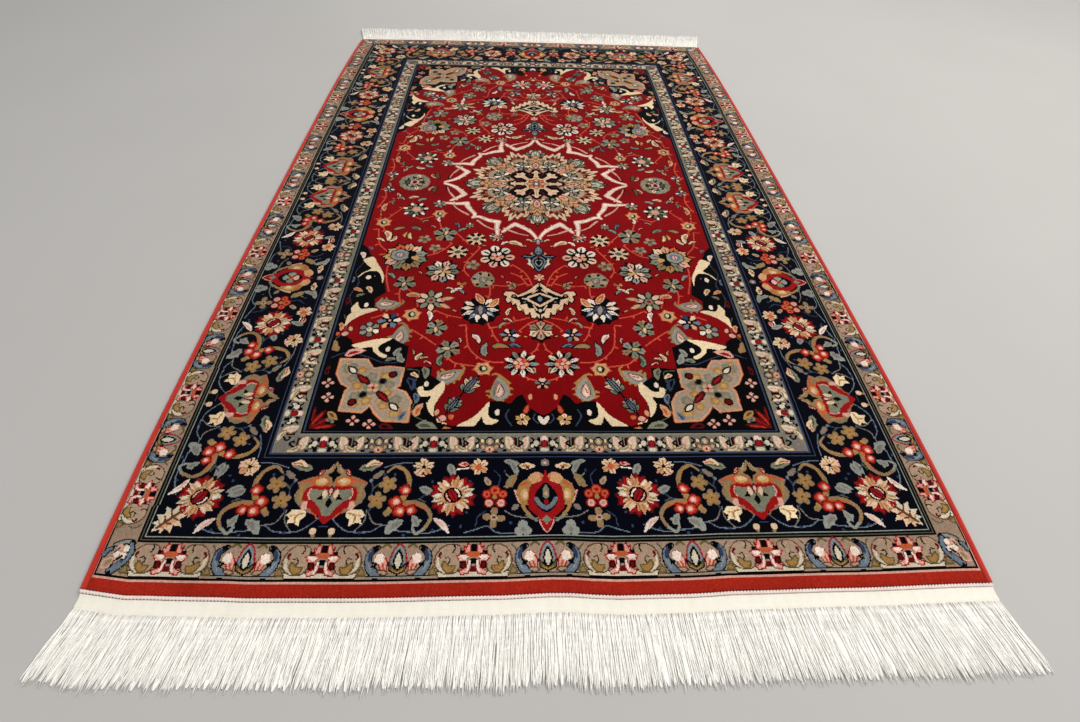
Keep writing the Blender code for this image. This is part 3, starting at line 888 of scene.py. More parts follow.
LOOSE_LEAVES = (
    # x, y, turn, length, ink
    (278, 186, 15, 36, "cream"), (266, 196, -35, 24, "cream"), (287, 199, 60, 20, "cream"),
    (234, 186, 190, 24, "gold"), (243, 182, 165, 22, "orange"), (257, 164, 110, 26, "tan"),
    (226, 164, 65, 26, "sage"), (294, 92, 175, 32, "peach"), (277, 54, 10, 26, "pink"),
    (281, 74, 170, 18, "sage"), (268, 62, 50, 20, "grey"), (212, 24, 145, 22, "pink"),
    (203, 27, 165, 24, "olive"), (226, 66, 115, 24, "grey"), (244, 58, 100, 24, "cream"),
    (140, 165, 125, 22, "grey"), (152, 150, 30, 20, "steel"), (254, 300, 40, 22, "grey"),
    (186, 130, 180, 20, "white"), (140, 336, 120, 24, "white"), (132, 340, 40, 18, "grey"),
    (152, 332, 80, 16, "cream"), (207, 352, 75, 36, "peach"), (50, 386, 155, 22, "cream"),
    (52, 408, 60, 20, "pink"), (60, 418, 140, 20, "beige"), (101, 449, 30, 26, "white"),
    (84, 470, 175, 32, "grey"), (62, 466, 85, 30, "tan"), (40, 464, 75, 22, "steel"),
    (183, 486, 150, 22, "cream"), (176, 490, 105, 16, "cream"), (194, 477, 10, 12, "peach"),
    (170, 500, 70, 16, "pink"), (180, 398, 10, 26, "white"), (41, 207, 65, 34, "cream"),
    (60, 205, 130, 20, "white"), (26, 214, 110, 14, "pink"), (16, 196, 60, 16, "cream"),
    (300, 120, 30, 12, "orange"), (300, 12, 20, 20, "tan"), (182, 20, 0, 14, "maroon"),
    (44, 322, 20, 18, "tan"), (52, 316, 70, 14, "pink"), (150, 493, 175, 28, "sage"),
    (126, 452, 10, 14, "pink"), (64, 300, 40, 12, "orange"), (156, 262, 20, 12, "maroon"),
    (206, 292, 40, 12, "peach"), (270, 330, 20, 14, "pink"), (24, 444, 60, 10, "orange"),
    (12, 512, 20, 14, "peach"), (196, 156, 60, 14, "pink"), (212, 138, 120, 16, "beige"),
    (98, 214, 80, 12, "orange"), (140, 386, 60, 12, "orange"),
)


def dark_rosette(pen, radius):
    """White and pink looped petals over black, round a small pink flower."""
    pen = pen.at(0, 0, size=radius)
    pen.fill(starry(0, 0, 1.04, 7, 0.2, 26), "black")
    for one, ink in zip(pen.around(7, 26, 0.7), "white pink ivory white white cream pink".split()):
        one.fill([(-0.16, -0.2), (-0.27, 0.05), (-0.17, 0.24), (0, 0.3), (0.18, 0.2), (0.26, 0),
                  (0.12, -0.2)], ink)
        one.line([(0, -0.14), (0.02, 0.12)], "black", 3.4)
    petals(pen, 0.42, "pink peach white pink peach", 0.1, 0.7)
    pen.fill(oval(0, 0, 0.1), "red")


def spiked_rosette(pen, radius):
    """Pointed white, cream and grey petals over black, round berries."""
    pen = pen.at(0, 0, size=radius)
    pen.fill(starry(0, 0, 0.98, 9, 0.14, 28), "black")
    for one, ink in zip(pen.around(9, 8), "white ivory grey ivory white sage white grey ivory".split()):
        one.fill(blade(0, 0.4, 0, 1.06, 0.28, 0.5), ink)
        one.line([(0.03, 0.52), (0.03, 0.76)], "black", 1.4)
    pen.fill(lobed(0, 0, 0.5, 6, 0.15), "red")
    for one, ink in zip(pen.around(6, 20, 0.32), "pink peach orange pink cream peach".split()):
        one.fill(oval(0, 0, 0.14), ink)
    pen.fill(oval(0, 0, 0.13), "pink")


def tan_rosette(pen, radius):
    """Six broad grey-brown petals with black drops between them."""
    pen = pen.at(0, 0, size=radius)
    pen.fill(lobed(0, 0, 1, 6, 0.14), "tan")
    petals(pen, 1, "beige sage beige grey beige sage", 0.2, 0.6, 30)
    for one in pen.around(6, 0):
        one.fill(oval(0, 0.74, 0.13, 0.15), "black")
    pen.fill(lobed(0, 0, 0.36, 5, 0.3), "sage", "moss")
    petals(pen, 0.26, "pink grey pink grey", 0.1, 0.6)


def cream_star(pen, radius):
    """A cream star with black between its seven blunt tips."""
    pen = pen.at(0, 0, size=radius)
    pen.fill(lobed(0, 0, 0.86, 7, 0.1, 26), "black")
    pen.fill(starry(0, 0, 1, 7, 0.62), "cream")
    for one in pen.around(7):
        one.fill([(-0.1, 0.5), (-0.17, 0.94), (0, 0.82), (0.16, 0.98), (0.1, 0.5)], "cream")
        one.line([(0, 0.4), (0, 0.7)], "gold", 1.8)
    pen.fill(oval(0, 0, 0.3, 0.22), "moss", "sage")


def peach_flower(pen, radius):
    """A small orange flower with a flaming rim, a dark eye and a pale drop in it."""
    pen = pen.at(0, 0, size=radius)
    pen.fill(starry(0, 0, 1.04, 6, 0.28, 20), "orange")
    pen.fill(starry(0, 0, 0.9, 6, 0.24, 26), "peach")
    pen.fill(lobed(0, 0, 0.6, 5, 0.25), "gold")
    pen.fill(oval(0, 0, 0.4, 0.46), "olive")
    pen.fill(oval(0.06, 0, 0.28, 0.34), "black")
    pen.fill(oval(-0.05, -0.05, 0.18, 0.28), "ivory")


def small_grey(pen, radius):
    """A little grey-brown flower of five petals."""
    pen = pen.at(0, 0, size=radius)
    petals(pen, 1, "tan sage beige tan grey", 0.0, 0.66)
    pen.fill(oval(0, 0, 0.26), "moss", "brown")


def dark_grey(pen, radius):
    """A little flower of green-grey petals over black, with a pink middle."""
    pen = pen.at(0, 0, size=radius)
    pen.fill(lobed(0, 0, 0.9, 6, 0.1, 30), "black")
    petals(pen, 1, "sage grey sage white sage beige", 0.2, 0.5)
    pen.fill(lobed(0, 0, 0.3, 4, 0.2), "pink", "maroon")


def star_rosette(pen, radius):
    """Pointed cream, pink and green petals with black between them, two long tips to one side."""
    pen = pen.at(0, 0, size=radius)
    pen.fill(starry(0, 0, 0.84, 8, 0.14, 22), "black")
    for one, ink in zip(pen.around(8, 4), "cream sage pink ivory sage cream pink sage".split()):
        one.fill(blade(0, 0.24, 0, 1.02, 0.42, 0.5), ink, "black")
    for turn in (60, 100):
        pen.at(0, 0, turn).fill(blade(0, 0.6, 0, 1.5, 0.36), "peach", "brown")
    pen.fill(lobed(0, 0, 0.34, 5, 0.2), "sage", "black")
    pen.fill(oval(0, 0, 0.13), "red")


def small_steel(pen, radius):
    """A little blue and white flower over black."""
    pen = pen.at(0, 0, size=radius)
    pen.fill(starry(0, 0, 1, 6, 0.25, 45), "black")
    petals(pen, 1, "steel white slate cream steel peach", 0.3, 0.46, 15)
    pen.fill(oval(0, 0, 0.26), "navy")
    pen.fill(oval(0, 0, 0.12), "pink")


def grey_flower(pen, radius):
    """Five broad grey petals, with a gold bud over them."""
    pen.fill(starry(0, 0, 0.9 * radius, 5, 0.4), "black")
    petals(pen, radius, "grey sage grey sage tan", 0.16, 0.6, 36, "moss")
    leaf(pen, (0, 4), (-4, -0.6 * radius), 8, "gold", "black")


# Where each kind of flower stands: place, radius and turn.
FIELD_FLOWERS = (
    (dark_rosette, ((74, 245, 32, 10),)),
    (spiked_rosette, ((31, 499, 25.5, 0), (77, 186, 13, 10))),
    (dark_grey, ((190, 79, 14, 15), (128, 150, 9, 0))),
    (tan_rosette, ((97, 308, 21, 22),)),
    (cream_star, ((145, 233, 20, 10), (114, 194, 20, 30))),
    (peach_flower, ((188, 113, 15, 0), (290, 144, 16, 20), (207, 395, 16, 10), (87, 510, 16, 0))),
    (small_grey, ((186, 222, 12, 0), (117, 269, 14, 20), (46, 324, 9, 40), (208, 196, 13, 10),
                  (166, 420, 14, 30))),
    (small_steel, ((49, 440, 16, 10), (240, 409, 19, 20), (298, 28, 12, 0), (0, 538, 12, 0),
                   (4, 195, 6, 0))),
    (grey_flower, ((172, 180, 24, 0), (141, 470, 20, 100), (228, 318, 20, 180))),
)


def fan(pen, size):
    """A palmette from the side, opening to +y from a stalk at -y."""
    pen = pen.at(0, 0, size=size)
    inks = ("white", "cream", "white", "steel", "white")
    pen.fill(starry(0, 0.1, 1.02, 11, 0.14), "black")
    for index, (turn, long) in enumerate(((-128, 0.9), (-98, 1.0), (-68, 1.05), (-40, 1.0), (-14, 1.1))):
        for one in pen.both():
            one = one.at(0, -0.1, turn)
            one.fill([(0, 0.26), (-0.14, 0.66), (-0.05, 0.82), (0, long), (0.1, 0.84), (0.18, 0.6)],
                     inks[index % len(inks)], "black")
            one.line([(0, 0.5), (0, 0.74 * long)], inks[(index + 1) % len(inks)], 1.8)
    pen.fill(lobed(0, 0.05, 0.36, 5, 0.3), "slate", "black")
    pen.fill(blade(0, -0.28, 0, 0.42, 0.3), "grey", "maroon")


def great_palmette(pen):
    """The large cream and black palmette on the long axis of the field."""
    for one in pen.both():
        one.fill([(0, -43), (7, -36), (15, -27), (24, -18), (36, -10), (43, -17), (52, -19), (60, -17),
                  (61, -8), (56, -5), (57, 4), (53, 12), (48, 8), (46, 18), (40, 13), (38, 26), (33, 32),
                  (28, 27), (26, 39), (20, 41), (17, 35), (15, 48), (8, 49), (5, 44), (0, 56)], "cream",
                 "black", 2.6)
        one.fill([(0, -33), (5, -28), (8, -18), (18, -14), (27, -8), (37, -4), (40, -10), (47, -10),
                  (48, -2), (40, 2), (34, 4), (32, 15), (22, 14), (19, 25), (10, 24), (7, 36), (0, 40)],
                 "black")
        one.line([(0, -11), (10, -7), (21, 1), (12, 10), (0, 19)], "cream", 4.6)
        one.line([(20, 1), (28, 0)], "ivory", 3.0)
        one.line([(4, -21), (12, -13)], "cream", 2.6)
        one.line([(11, 17), (5, 29)], "cream", 2.6)
        one.fill(oval(43, -6, 2.2, 1.6), "ochre")
        one.fill(oval(25, 9, 2.4, 1.8), "sage")
        one.line([(34, 18), (26, 32)], "ochre", 1.6)
        one.line([(50, 0), (44, 10)], "ochre", 1.6)
    pen.fill(blade(0, 16, 0, -11, 13, 0.5), "navy")
    pen.fill(oval(0, 2, 4.4, 7), "steel", "black")
    pen.fill(oval(0, 30, 2.4, 4), "ivory")
    pen.fill(oval(0, -36, 2.0, 4), "moss")


def great_rosette(pen):
    """The many-coloured rosette of the field's side."""
    pen.fill(starry(-1, 1, 43, 11, 0.16, 24), "black")
    petals(pen.at(-1, 1), 40, "ochre tan sage grey cream peach orange peach gold pink sage", 0.46, 0.4, 8,
           "maroon")
    petals(pen.at(-4, 2), 22, "black gold black orange black sage", 0.3, 0.6, 20)
    pen.fill(lobed(9, -4, 17, 6, 0.12), "grey", "black", 2.0)
    pen.fill(oval(9, -4, 10, 9), "steel")
    pen.fill(oval(9, -4, 4.6, 5.6), "pink")
    pen.line([(9, -8), (9, 0)], "red", 1.6)


def grey_rosette(pen, size):
    """Grey, white and pink petals round a cream flower with a red line."""
    pen = pen.at(0, 0, size=size)
    pen.fill(starry(0, 0, 1.06, 9, 0.2, 25), "black")
    petals(pen, 1, "grey white sage grey pink white grey sage pink", 0.42, 0.4, 5, "black")
    petals(pen, 0.52, "cream gold cream sage cream", 0.06, 0.62)
    pen.line([(-0.1, -0.3), (0.1, 0.3)], "red", 2.0)


def round_rosette(pen, size):
    """The green and cream rosette on the cross axis."""
    pen = pen.at(0, 0, size=size)
    pen.fill(lobed(0, 0, 1, 12, 0.1), "sage")
    petals(pen, 1, "cream sage beige grey cream sage beige grey cream sage beige grey", 0.55, 0.3, 15,
           "black")
    pen.fill(lobed(0, 0, 0.64, 8, 0.14), "black")
    petals(pen, 0.62, "sage beige moss grey sage beige moss grey", 0.3, 0.44, 10)
    pen.fill(lobed(0, 0, 0.34, 6, 0.2), "pink", "black")
    pen.fill(oval(0, 0, 0.14, 0.2), "maroon")


def dotted_rosette(pen, size):
    """Green and black petals with white drops between them, round a pink flower."""
    pen.fill(lobed(0, 0, 0.84 * size, 8, 0.12), "black")
    petals(pen, 0.85 * size, "sage beige sage moss sage olive sage moss", 0.3, 0.36, 12)
    for one in pen.around(7, 50):
        one.fill(oval(0, 0.78 * size, 0.15 * size, 0.2 * size), "white", "black")
    pen.fill(lobed(-2, -1, 0.36 * size, 5, 0.2), "pink", "tan", 2.0)


def axis_palmette(pen):
    """A grey-blue bulb with wings, on the long axis of the field."""
    for one in pen.both():
        one.fill([(2, -8), (10, -16), (15, -8), (24, -10), (33, -4), (25, 2), (24, 8), (14, 6)], "black")
        one.line([(8, -8), (14, -3), (26, -4)], "steel", 2.8)
        one.line([(16, 2), (22, 4)], "grey", 2.0)
        one.fill([(8, 6), (20, 4), (19, 14), (22, 18), (14, 24), (8, 34)], "ivory", "black")
        one.line([(14, 10), (15, 20)], "pink", 2.0)
        one.fill(oval(12, -12, 3, 3.6), "pink", "maroon")
    pen.fill(rounded(even([(0, -4), (9, -1), (14, 8), (12, 20), (0, 42)])), "black")
    for one in pen.both():
        one.line([(3, -1), (9, 4), (11, 12), (8, 22), (1, 36)], "steel", (3.4, 2.4))
        one.line([(2, 7), (6, 11), (4, 19), (0, 24)], "grey", 2.2)
    pen.fill(rounded(even([(0, -34), (7, -24), (7, -14), (0, -8)])), "steel", "black", 2.0)
    pen.line([(0, -27), (0, -20)], "grey", 3.0)
    pen.line([(-4, -15), (0, -18), (4, -15)], "navy", 2.0)
    pen.fill(oval(0, -44, 3, 5), "grey")
    petals(pen.at(0, 54), 10, "cream peach cream peach cream peach", 0.1, 0.5)


def draw_field(pen):
    """The red field between the medallion and the corner: stems, flowers, leaves and bent drops."""
    pen.fill([(BLEED, BLEED), (FIELD_WIDTH, BLEED), (FIELD_WIDTH, FIELD_LENGTH), (BLEED, FIELD_LENGTH)],
             "crimson")
    for stem in STEMS:
        pen.line(stem, "coral", 2.4)
        for (x, y), (x1, y1) in zip(stem, stem[1:]):
            pen.fill(blade(x, y, x + 0.3 * (y1 - y), y - 0.3 * (x1 - x), 3.4), "coral")
    for draw, places in FIELD_FLOWERS:
        for x, y, radius, turn in places:
            draw(pen.at(x, y, turn), radius)
    for x, y, turn, long, ink in LOOSE_LEAVES:
        leaf(pen.at(x, y, turn), (0, -0.5 * long), (0, 0.5 * long), 0.42 * long, ink, "black", belly=0.4,
             bend=0.12, teeth=2, bite=0.2)
    great_palmette(pen.at(0, 355))
    axis_palmette(pen.at(0, 246))
    fan(pen.at(98, 382, 10), 34)
    star_rosette(pen.at(180, 361), 26)
    grey_flower(pen.at(164, 425, 200), 19)
    grey_rosette(pen.at(168, 287), 30)
    great_rosette(pen.at(237, 247))
    round_rosette(pen.at(250, 0), 32)
    dotted_rosette(pen.at(236, 100), 26)
    pen.at(0, 437).fill(starry(0, 0, 20, 7, 0.25), "black")
    petals(pen.at(0, 430), 21, "beige cream sage beige sage cream", 0.3, 0.62, 0, "brown")
    petals(pen.at(0, 430), 10, "pink olive peach pink olive peach", 0.1, 0.5)
    leaf(pen, (94, 368), (107, 344), 11, "orange", "cream")
    leaf(pen, (82, 374), (68, 356), 11, "orange", "cream")
    petals(pen.at(133, 321), 9, "gold ochre gold", 0.1, 0.7, notch="brown")
    boteh(pen.at(219, 443, -8, 1.05, flip=True), "tan")
    boteh(pen.at(137, 524, -62, 0.98, flip=True))
    boteh(pen.at(63, 549, 0, 1.1, flip=True))
    boteh(pen.at(250, 370, -90, 0.95, flip=True), "tan")
    pen.line([(92, 524), (110, 550), (126, 578), (140, 606)], "black", 3)
    torch(pen.at(104, 541, -32))
    torch(pen.at(125, 576, -28, 0.85), "sage")
    petals(pen.at(138, 604, -28), 10, "cream cream cream", 0.1, 0.7, 180)
    grey_palmette(pen.at(267, 429, -63))


def medallion_wings(pen):
    """The white split leaves of the medallion's outer ring: a pair on the axis and a pair beyond it."""
    for one in pen.both():
        for ink, thick in (("pink", 4.0), ("white", 0.0)):
            one.line([(3, 188), (12, 170), (26, 156), (43, 144)], ink, (3 + thick, 8 + thick))
            one.line([(43, 144), (53, 154), (66, 169)], ink, (8 + thick, 3 + thick))
            one.line([(75, 178), (77, 154), (75, 137)], ink, (3 + thick, 8 + thick))
            one.line([(75, 137), (92, 133), (112, 121), (124, 124)], ink, (8 + thick, 3 + thick))
        one.line([(18, 180), (36, 174), (56, 163)], "pink", (2, 5))
        one.line([(22, 177), (38, 172)], "maroon", 1.6)
        one.line([(80, 164), (98, 152), (114, 134)], "pink", (2, 5))
        one.line([(86, 157), (98, 148)], "maroon", 1.6)
        for x, y, turn in ((20, 163, 120), (32, 153, 130), (58, 160, 240), (78, 160, 70), (86, 136, 200),
                           (102, 128, 205)):
            one.at(x, y, turn).fill(blade(0, -2, 0, 9, 4.4), "ivory")


def outer_leaves(pen):
    """The leaves round the medallion on one of its eight axes."""
    for half in pen.both():
        leaf(half, (7, 112), (22, 134), 11, "sage", "black")
        half.fill([(6, 128), (14, 126), (13, 140), (5, 144)], "ivory", "black")
    pen.fill(even([(0, 150), (3, 142), (7, 138), (12, 126), (10, 110)]), "sage", "black", LINE)
    for half in pen.both():
        half.line([(-5, 116), (-5, 132)], "ivory", 1.8)
    pen.fill(blade(0, 114, 0, 142, 7), "ivory", "black")
    pen.fill(oval(0, 124, 2, 4), "steel")


def outer_cartouche(pen):
    """The cream and maroon point between two of the axes."""
    pen.fill(even([(0, 148), (4, 140), (7, 130), (15, 135), (17, 121), (25, 124), (29, 112), (24, 92),
                   (0, 84)]), "cream", "maroon", 1.8)
    pen.fill(even([(0, 132), (3, 116), (9, 125), (12, 111), (21, 113), (16, 98), (0, 94)]), "maroon")
    pen.fill(even([(0, 120), (3, 109), (10, 110), (12, 101), (0, 96)]), "ochre")
    for half in pen.both():
        half.line([(23, 112), (14, 126)], "ochre", 2.0)
        half.line([(20, 98), (24, 108)], "olive", 2.0)
        half.line([(5, 134), (8, 124)], "black", 1.6)
    pen.fill(blade(0, 94, 0, 112, 7), "pink", "black")


def ring_flower(pen, core):
    """The tall flower of the beige ring on one of the axes."""
    pen.fill(lobed(0, 101, 16, 4, 0.3), "peach", "black")
    pen.line([(-11, 105), (-5, 109), (0, 100), (5, 109), (11, 105)], "brown", 2.2)
    pen.line([(-14, 96), (-8, 99), (0, 90), (8, 99), (14, 96)], "olive", 3.0)
    pen.line([(-8, 91), (0, 86), (8, 91)], "gold", 2.0)
    for half in pen.both():
        leaf(half, (7, 60), (17, 86), 10, "gold", "black")
        leaf(half, (20, 78), (25, 102), 9, "cream", "black")
        half.line([(15, 88), (19, 98)], "moss", 3.0)
        half.fill(oval(12, 59, 3.4, 4), "pink", "black")
    pen.fill(blade(0, 58, 0, 90, 16, 0.6), "pink", "black")
    pen.fill(even([(3, 70), (3, 80)]), core)
    pen.fill(oval(0, 75, 1.4), "cream")


def ring_rosette(pen):
    """The grey rosette of the beige ring between two axes."""
    pen.fill(lobed(0, 76, 18, 5, 0.2, 0, 1.1), "black")
    petals(pen.at(0, 76), 18, "sage grey white moss sage grey white", 0.24, 0.44, 10)
    pen.fill(oval(0, 76, 4.6), "maroon")
    pen.fill(oval(0, 76, 2.0), "white")
    for half in pen.both():
        half.fill(oval(10, 61, 2.4), "cream")
        half.fill(oval(10, 93, 2.6, 1.8), "black")


def cross_ground(pen, straight):
    """One black arm of the cross in the medallion's middle, straight or diagonal."""
    if straight:
        arm = [(0, 61), (7, 57), (10, 50), (16, 43), (13, 38), (13, 10)]
    else:
        arm = [(12, 64), (21, 55), (21, 42), (15, 36), (14, 10)]
    pen.fill(even(arm), "black", "maroon", 1.8)


def cross_stalk(pen, straight):
    """The cream stalk and flower on one arm of the cross."""
    if straight:
        pen.line([(0, 16), (0, 50)], "cream", (10, 8))
        pen.line([(-7, 44), (0, 49), (7, 44)], "cream", 3.4)
        pen.line([(0, 30), (0, 46)], "gold", 2.2)
    else:
        pen.line([(0, 16), (0, 46)], "cream", (8, 10))
        pen.fill(even([(0, 58), (5, 52), (12, 53), (13, 45), (7, 40)]), "cream")
        pen.fill(oval(0, 48, 4.6, 3.6), "pink")
        pen.line([(0, 28), (0, 42)], "peach", 2.4)


def draw_medallion(pen):
    """The medallion, from its outer leaves in to its heart."""
    axes = list(pen.around(8))
    between = list(pen.around(8, 22.5))
    straight = [index % 2 == 0 for index in range(8)]
    for one in pen.around(4):
        medallion_wings(one)
    for one in axes:
        outer_leaves(one)
    for one in between:
        outer_cartouche(one)
    pen.fill(lobed(0, 0, 108, 16, 0.1), "beige", "maroon", 1.8)
    for one, is_straight in zip(axes, straight):
        ring_flower(one, "red" if is_straight else "orange")
    for one in between:
        ring_rosette(one)
    for one, is_straight in zip(axes, straight):
        cross_ground(one, is_straight)
    for one, is_straight in zip(axes, straight):
        cross_stalk(one, is_straight)
    pen.fill(lobed(0, 0, 25, 8, 0.16), "cream", "brown")
    for one, is_straight in zip(axes, straight):
        one.fill(blade(0, 4, 0, 21, 11, 0.6), "peach" if is_straight else "orange", "brown")
        one.fill(oval(0, 14, 1.6, 3), "gold")
    pen.fill(oval(0, 0, 6, 9), "steel", "maroon")
    pen.fill(oval(0, 0, 2.4, 4), "white")


def quarter_chart():
    """The whole pattern of one quarter, from the field up to the borders."""
    chart = Chart(HALF_WIDTH, HALF_LENGTH)
    pen = Pen(chart)
    draw_field(pen)
    draw_spandrel(pen)
    draw_medallion(pen)
    draw_borders(pen)
    return chart


# The pile: faces of two by two knots, in blocks that meet edge to edge.
PILE_COLUMNS = 394            # faces across the rug, between the overcast sides
PILE_ROWS = 627
BLOCKS_ACROSS = 3
BLOCKS_ALONG = 5
MEDALLION_Y = 0.020           # the medallion's middle, on the rug's long axis
WAVE_START = 0.55             # how far from the middle the ends' waves begin to bend the rows
PILE_CLEARANCE = 0.0004       # between the pile and the overcast sides, in metres
PILE_REACH = (0.5 * RUG_WIDTH - SELVEDGE_WIDTH - PILE_CLEARANCE) / (0.5 * RUG_WIDTH)
NAP = 0.00009                 # how uneven the clipped surface is, knot by knot and in waves
NAP_WAVE = 0.00012
END_RIM = 0.003               # the shares of the cloth over which the pile dips at its rim, and how deep
SIDE_RIM = 0.005
RIM_DIP = 0.0018
BACK_COLUMNS = 158            # faces of the underside
BACK_ROWS = 250
# How far lines of the far half lie from the medallion's middle, woven and charted, in millimetres.
FAR_HALF = ((0.0, 752.0, 789.5, 795.0), (0.0, 770.0, 818.0, 835.0))


def linear(colour):
    """A dye's colour as light: from its look in daylight, 0 to 255."""
    value = np.array(colour, float) / 255.0
    return np.where(value <= 0.04045, value / 12.92, ((value + 0.055) / 1.055) ** 2.4)


def mesh_object(name, points, faces, material, smooth_faces=True):
    """A mesh from an array of points and an array of four-sided faces."""
    mesh = bpy.data.meshes.new(name)
    mesh.vertices.add(len(points))
    mesh.vertices.foreach_set("co", np.ascontiguousarray(points, np.float32).ravel())
    mesh.loops.add(faces.size)
    mesh.loops.foreach_set("vertex_index", np.ascontiguousarray(faces, np.int32).ravel())
    mesh.polygons.add(len(faces))
    mesh.polygons.foreach_set("loop_start", np.arange(0, faces.size, faces.shape[1], dtype=np.int32))
    mesh.polygons.foreach_set("use_smooth", np.full(len(faces), smooth_faces))
    mesh.update(calc_edges=True)
    mesh.materials.append(material)
    piece = bpy.data.objects.new(name, mesh)
    bpy.context.scene.collection.objects.link(piece)
    return piece


def grid_faces(rows, columns):
    """The faces between rows and columns of points that are stored row after row."""
    corner = np.arange(rows - 1)[:, None] * columns + np.arange(columns - 1)[None, :]
    return np.stack((corner, corner + 1, corner + columns + 1, corner + columns), -1).reshape(-1, 4)


def grid_rim(rows, columns):
    """The points round the rim of a grid, in order, by their places in the grid's list."""
    low = np.arange(columns)
    right = np.arange(rows) * (columns + 1) + columns
    high = rows * (columns + 1) + np.arange(columns, 0, -1)
    left = np.arange(rows, 0, -1) * (columns + 1)
    return np.concatenate((low, right, high, left))


def tube_faces(rings, sides):
    """The faces of a tube, ring after ring, without its ends."""
    ring = np.arange(rings - 1)[:, None] * sides
    side = np.arange(sides)[None, :]
    after = (side + 1) % sides
    corners = (ring + side, ring + after, ring + sides + after, ring + sides + side)
    return np.stack(corners, -1).reshape(-1, 4)


def ripple(draw, places, wave, height):
    """A smooth random line, with waves about that long."""
    count = int(np.ptp(places) / wave) + 3
    knots = draw.normal(0.0, height, count)
    at = (places - places.min()) / wave
    low = at.astype(int)
    share = at - low
    share = share * share * (3.0 - 2.0 * share)
    return knots[low] * (1.0 - share) + knots[low + 1] * share


def knot_inks(chart, across, y):
    """The chart's ink for each knot, by its place across (-1 to 1) and along (metres)."""
    side = np.sign(across)[None, :]
    x = np.abs(across)[None, :] * HALF_WIDTH
    from_middle = (y - MEDALLION_Y) * 1000.0
    along = np.where(from_middle < 0.0, -from_middle, np.interp(from_middle, *FAR_HALF))[:, None]
    # A hand-woven row is never quite straight.
    drift = 0.9 * np.sin(0.011 * from_middle[:, None] + 2.1) * np.sin(0.009 * x) * side
    lift = 1.1 * np.sin(0.013 * side * x + 0.6) * np.sin(0.02 * along)
    lift = lift * np.cos(0.5 * math.pi * along / HALF_LENGTH)
    columns = np.clip(((x + drift) / KNOT).astype(int), 0, len(chart.x) - 1)
    rows = np.clip(((along + lift) / KNOT).astype(int), 0, len(chart.y) - 1)
    return chart.knots[rows, columns]


LOTS = 4                      # sets of dye-lot bands, of which each dye takes one
LOT_BANDS = ((0.045, 0.05), (0.012, 0.03))      # length of the bands along the rug, and their strength
KNOT_SHADE = 0.11             # how much single knots and single files of knots differ
COLUMN_SHADE = 0.03


def dyed(inks, y, seed):
    """Each knot's colour, with the dye lots' bands and the wool's own unevenness."""
    draw = np.random.default_rng(seed)
    colour = np.array([linear(dye) for dye in DYES.values()])[inks]
    lots = np.stack([sum(ripple(draw, y, *band) for band in LOT_BANDS) for _ in range(LOTS)])
    shade = 1.0 + lots[inks % LOTS, np.arange(len(y))[:, None]]
    shade *= 1.0 + draw.normal(0.0, KNOT_SHADE, inks.shape)
    shade *= 1.0 + draw.normal(0.0, COLUMN_SHADE, (1, inks.shape[1]))
    return np.clip(colour * shade[..., None], 0.0, 1.0)


def lay_out(across, along):
    """Where points of the cloth lie, from their places across and along it, each -1 to 1."""
    end = np.where(along < 0.0, -1.0, 1.0)
    share = np.clip((np.abs(along) - WAVE_START) / (1.0 - WAVE_START), 0.0, 1.0) ** 2
    wave = np.where(along < 0.0, np.interp(across, STATIONS, END_WAVES[-1]),
                    np.interp(across, STATIONS, END_WAVES[1]))
    y = 0.5 * CLOTH_LENGTH * along + end * share * wave
    return across * half_width(0.5 * CLOTH_LENGTH * along), y


def knot_colours(chart, columns, rows, seed):
    """The colour of each knot under a grid of faces, with two by two knots to a face."""
    across = np.linspace(-PILE_REACH, PILE_REACH, 4 * columns + 1)[1::2]
    along = 0.5 * CLOTH_LENGTH * np.linspace(-1.0, 1.0, 4 * rows + 1)[1::2]
    return dyed(knot_inks(chart, across, along), along, seed)


def colour_faces(mesh, colours, spare=(1.0, 1.0, 1.0)):
    """Keeps the colours of each face's two by two knots; faces past the grid get the spare colour."""
    for row in (0, 1):
        for column in (0, 1):
            part = colours[row::2, column::2].reshape(-1, 3)
            data = np.ones((len(mesh.polygons), 4), np.float32)
            data[:, :3] = spare
            data[:len(part), :3] = part
            layer = mesh.attributes.new(f"knot_{column}{row}", "FLOAT_COLOR", "FACE")
            layer.data.foreach_set("color", data.ravel())


def grid_uv(rows, columns, along, across):
    """The corners of a grid's faces on a map that runs evenly from 0 up to along and across."""
    u = np.linspace(0.0, across, columns + 1)
    v = np.linspace(0.0, along, rows + 1)
    u0, v0 = np.meshgrid(u[:-1], v[:-1])
    u1, v1 = np.meshgrid(u[1:], v[1:])
    return np.stack((u0, v0, u1, v0, u1, v1, u0, v1), -1).reshape(-1, 4, 2)


def add_uv(mesh, name, corners):
    """A map of the grid's faces; the faces past the grid lie at its origin."""
    data = np.zeros((len(mesh.loops), 2), np.float32)
    data[:4 * len(corners)] = corners.reshape(-1, 2)
    mesh.uv_layers.new(name=name).data.foreach_set("uv", data.ravel())


